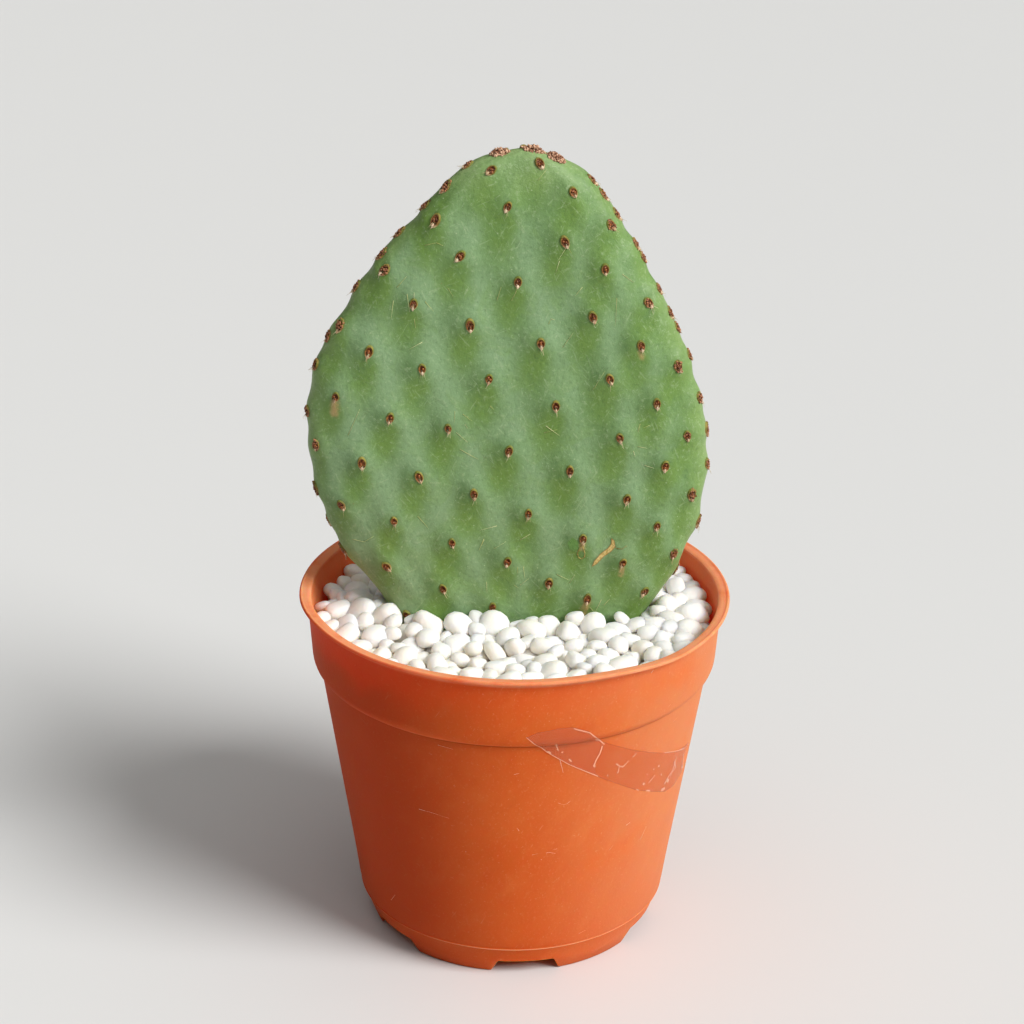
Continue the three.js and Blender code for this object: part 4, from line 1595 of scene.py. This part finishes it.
tape = {
    # degrees round from the front, and height in mm
    "outline": [
        (3.3, 69.9), (6.4, 71.1), (12.1, 71.8), (15.6, 71.8), (20.5, 70), (25.7, 65.6), (37.5, 60.5),
        (50.2, 55.9), (62.3, 52.3), (71.2, 51), (68.9, 47.4), (71.7, 43), (63.8, 42), (57, 42.7),
        (41.5, 48.2), (32.4, 52.6), (25.7, 55.9), (15.8, 60.9), (9.4, 64.8), (5.9, 67.6),
    ],
    "wallRadius": 46,  # mm, for laying the outline out flat
    "step": 0.25,
    "lift": 0.16,
    "wave": 0.12,
    "edgeWidth": 0.22,
    "foldWidth": 0.3,
    # in pixels of the photograph: the doubled part's far edge, and pale creases and painted glints on the
    # crumpled film, with their widths in mm
    "foldEdge": [
        (593, 730), (593.2, 737.7), (604.7, 744.5), (599.6, 754.7), (593.2, 766.2), (598.3, 776.3),
        (599, 790),
    ],
    "creaseGlints": [
        (0.16, [(597, 739.2), (622, 742.4), (648, 751), (668, 751.7), (683.6, 748)]),
        (0.2, [(526, 737.7), (546, 752), (569, 765), (597, 776)]),
        (0.15, [(602, 745.8), (599.6, 753.4), (595.8, 759.8), (593.4, 766)]),
        (0.13, [(574, 728.5), (590, 732.5), (604, 744)]),
        (0.3, [(548, 752), (549.6, 752.6)]), (0.26, [(593.6, 765.2), (594.2, 766)]),
        (0.2, [(562, 751.7), (562.4, 752)]), (0.24, [(596, 739.2), (599, 739.8)]),
        (0.17, [(569, 759), (571, 761)]), (0.14, [(556, 744), (558, 750)]),
        (0.14, [(616, 763.6), (619.5, 766), (622.5, 766.7), (627.6, 761)]),
        (0.14, [(618.7, 767.4), (617.4, 772.5)]), (0.18, [(607, 774.6), (607.4, 775.2)]),
        (0.13, [(648, 782.7), (654.3, 775)]), (0.18, [(653, 768.6), (653.4, 769.2)]),
        (0.2, [(660.5, 774), (661, 774.6)]), (0.14, [(646.5, 773.6), (647, 774.2)]),
        (0.12, [(632, 757), (636, 753)]),
        (0.17, [(676, 757.3), (673.4, 762.3), (675.4, 766.7), (672, 771.2), (669.6, 776.3)]),
        (0.42, [(666.6, 779.6), (667.4, 781)]), (0.16, [(683, 753), (682.3, 766), (680, 773)]),
        (0.3, [(642.9, 783.5), (643.3, 783.8)]), (0.26, [(658, 765.6), (658.4, 766)]),
        (0.28, [(635.7, 790), (637.4, 790.3)]), (0.34, [(646, 790.6), (648.6, 790.9)]),
        (0.4, [(661, 789.6), (663.4, 788.6)]), (0.24, [(677, 749.6), (677.5, 750)]),
        (0.24, [(669.6, 749.8), (670, 750)]), (0.28, [(681, 766), (681.6, 767)]),
        (0.22, [(664, 783.5), (668, 776), (672.6, 768.7), (674.7, 761)]),
    ],
}

tapeLook = {
    "single": (212, 96, 44),
    "double": (216, 104, 60),
    "ripple": (222, 120, 74),
    "edge": (158, 66, 36),
    "gluePatch": (176, 82, 50),
    "creaseGlint": (242, 180, 146),
    "bubble": (246, 190, 156),
}


def tapeFinish():
    paint = Finish("clearTape")
    look = tones(tapeLook)
    edge, fold = paint.read("edge"), paint.read("fold")
    grain = paint.mottle(0.0016, detail=4, roughness=0.7)
    ripple = paint.mottle(0.005, at=paint.stretch((1, 1, 2.2)), detail=3, twist=0.6)
    dots = paint.specks(0.0022, 0.07, 0.4)
    creaseGlint = paint.between(paint.read("creaseGlint"), 0.2, 0.6)
    colour = paint.mix(fold, look["single"], look["double"])
    colour = paint.mix(paint.between(ripple, 0.55, 0.7) * 0.5, colour, look["ripple"])
    colour = paint.mix(edge * 0.4, colour, look["edge"])
    colour = paint.mix(paint.between(grain, 0.55, 0.75) * fold * 0.4, colour, look["gluePatch"])
    # pale creases, with painted highlights where the crumpled film catches the light
    colour = paint.mix(creaseGlint * 0.85, colour, look["creaseGlint"])
    colour = paint.mix(dots * 0.5, colour, look["bubble"])
    alpha = 0.34 + fold * 0.1 + edge * 0.18 + creaseGlint * 0.3 + dots * 0.3
    rough = 0.14 + grain * 0.16
    relief = paint.bump(ripple + grain * 0.4, 0.0003)
    return paint.surface({
        "Base Color": colour,
        "Roughness": rough,
        "Alpha": paint.between(alpha, 0.0, 1.0),
        "Normal": relief,
        "Specular IOR Level": 0.5,
    })


def makeTape():
    arc = math.radians(tape["wallRadius"])  # mm along the wall for each degree
    outline = [(turn * arc, height) for turn, height in tape["outline"]]
    bm = flatPatch(outline, tape["step"])
    flat = asArray(v.co for v in bm.verts)[:, (0, 2)]
    away = distanceTo(flat, outline + outline[:1])
    waves = roughNoise(np.column_stack([flat, flat[:, 0] * 0]), 4, 3)
    for vertex, (along, height), wave in zip(bm.verts, flat, waves):
        lift = tape["lift"] + tape["wave"] * max(0, wave)
        vertex.co = wallPoint(math.radians(along / arc), height, lift) * mm
    bmesh.ops.recalc_face_normals(bm, faces=bm.faces)
    largest = max(bm.faces, key=lambda face: face.calc_area())
    outward = largest.calc_center_median() * Vector((1, 1, 0))
    if largest.normal.dot(outward) < 0:
        bmesh.ops.reverse_faces(bm, faces=bm.faces)
    mesh = finishMesh(bm, "tapeFilm")

    def onFilm(path):
        return [(math.degrees(turn) * arc, height) for turn, height in (onWall(*pixel) for pixel in path)]

    # pale creases, with painted glints where the crumpled film catches the light
    creaseGlints = np.zeros(len(flat))
    for width, path in tape["creaseGlints"]:
        creaseGlints = np.maximum(creaseGlints, np.clip(1.5 - distanceTo(flat, onFilm(path)) / width, 0, 1))
    foldEdge = asArray(onFilm(tape["foldEdge"]))[::-1]
    limit = np.interp(flat[:, 1], foldEdge[:, 1], foldEdge[:, 0])
    setAttribute(mesh, "edge", np.clip(1 - away / tape["edgeWidth"], 0, 1))
    setAttribute(mesh, "fold", np.clip((limit - flat[:, 0]) / tape["foldWidth"] + 0.5, 0, 1))
    setAttribute(mesh, "creaseGlint", creaseGlints)
    film = addObject("tapeFilm", mesh, [tapeFinish()])
    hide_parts("tape_scrap")


makeTape()
print("tape done")


# The potting mix keeps its CAD shape and gets the look of dark, gritty compost

mixLook = {"dark": (44, 32, 24), "brown": (84, 62, 44), "grit": (196, 188, 176), "bark": (120, 84, 52)}


def mixFinish():
    paint = Finish("pottingMix")
    look = tones(mixLook)
    lumps = paint.mottle(0.004, detail=5, roughness=0.7)
    grit = paint.cells(0.0018)
    colour = paint.mix(paint.between(lumps, 0.35, 0.7), look["dark"], look["brown"])
    colour = paint.mix(paint.specks(0.003, 0.2, 0.2) * 0.8, colour, look["grit"])
    colour = paint.mix(paint.specks(0.0022, 0.3, 0.3) * 0.6, colour, look["bark"])
    relief = paint.bump(lumps + grit * 0.6, 0.0008)
    return paint.surface({"Base Color": colour, "Roughness": 0.88 + lumps * 0.1, "Normal": relief})


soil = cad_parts["potting_mix"]
soil.data.materials.clear()
soil.data.materials.append(mixFinish())
print("potting mix painted")
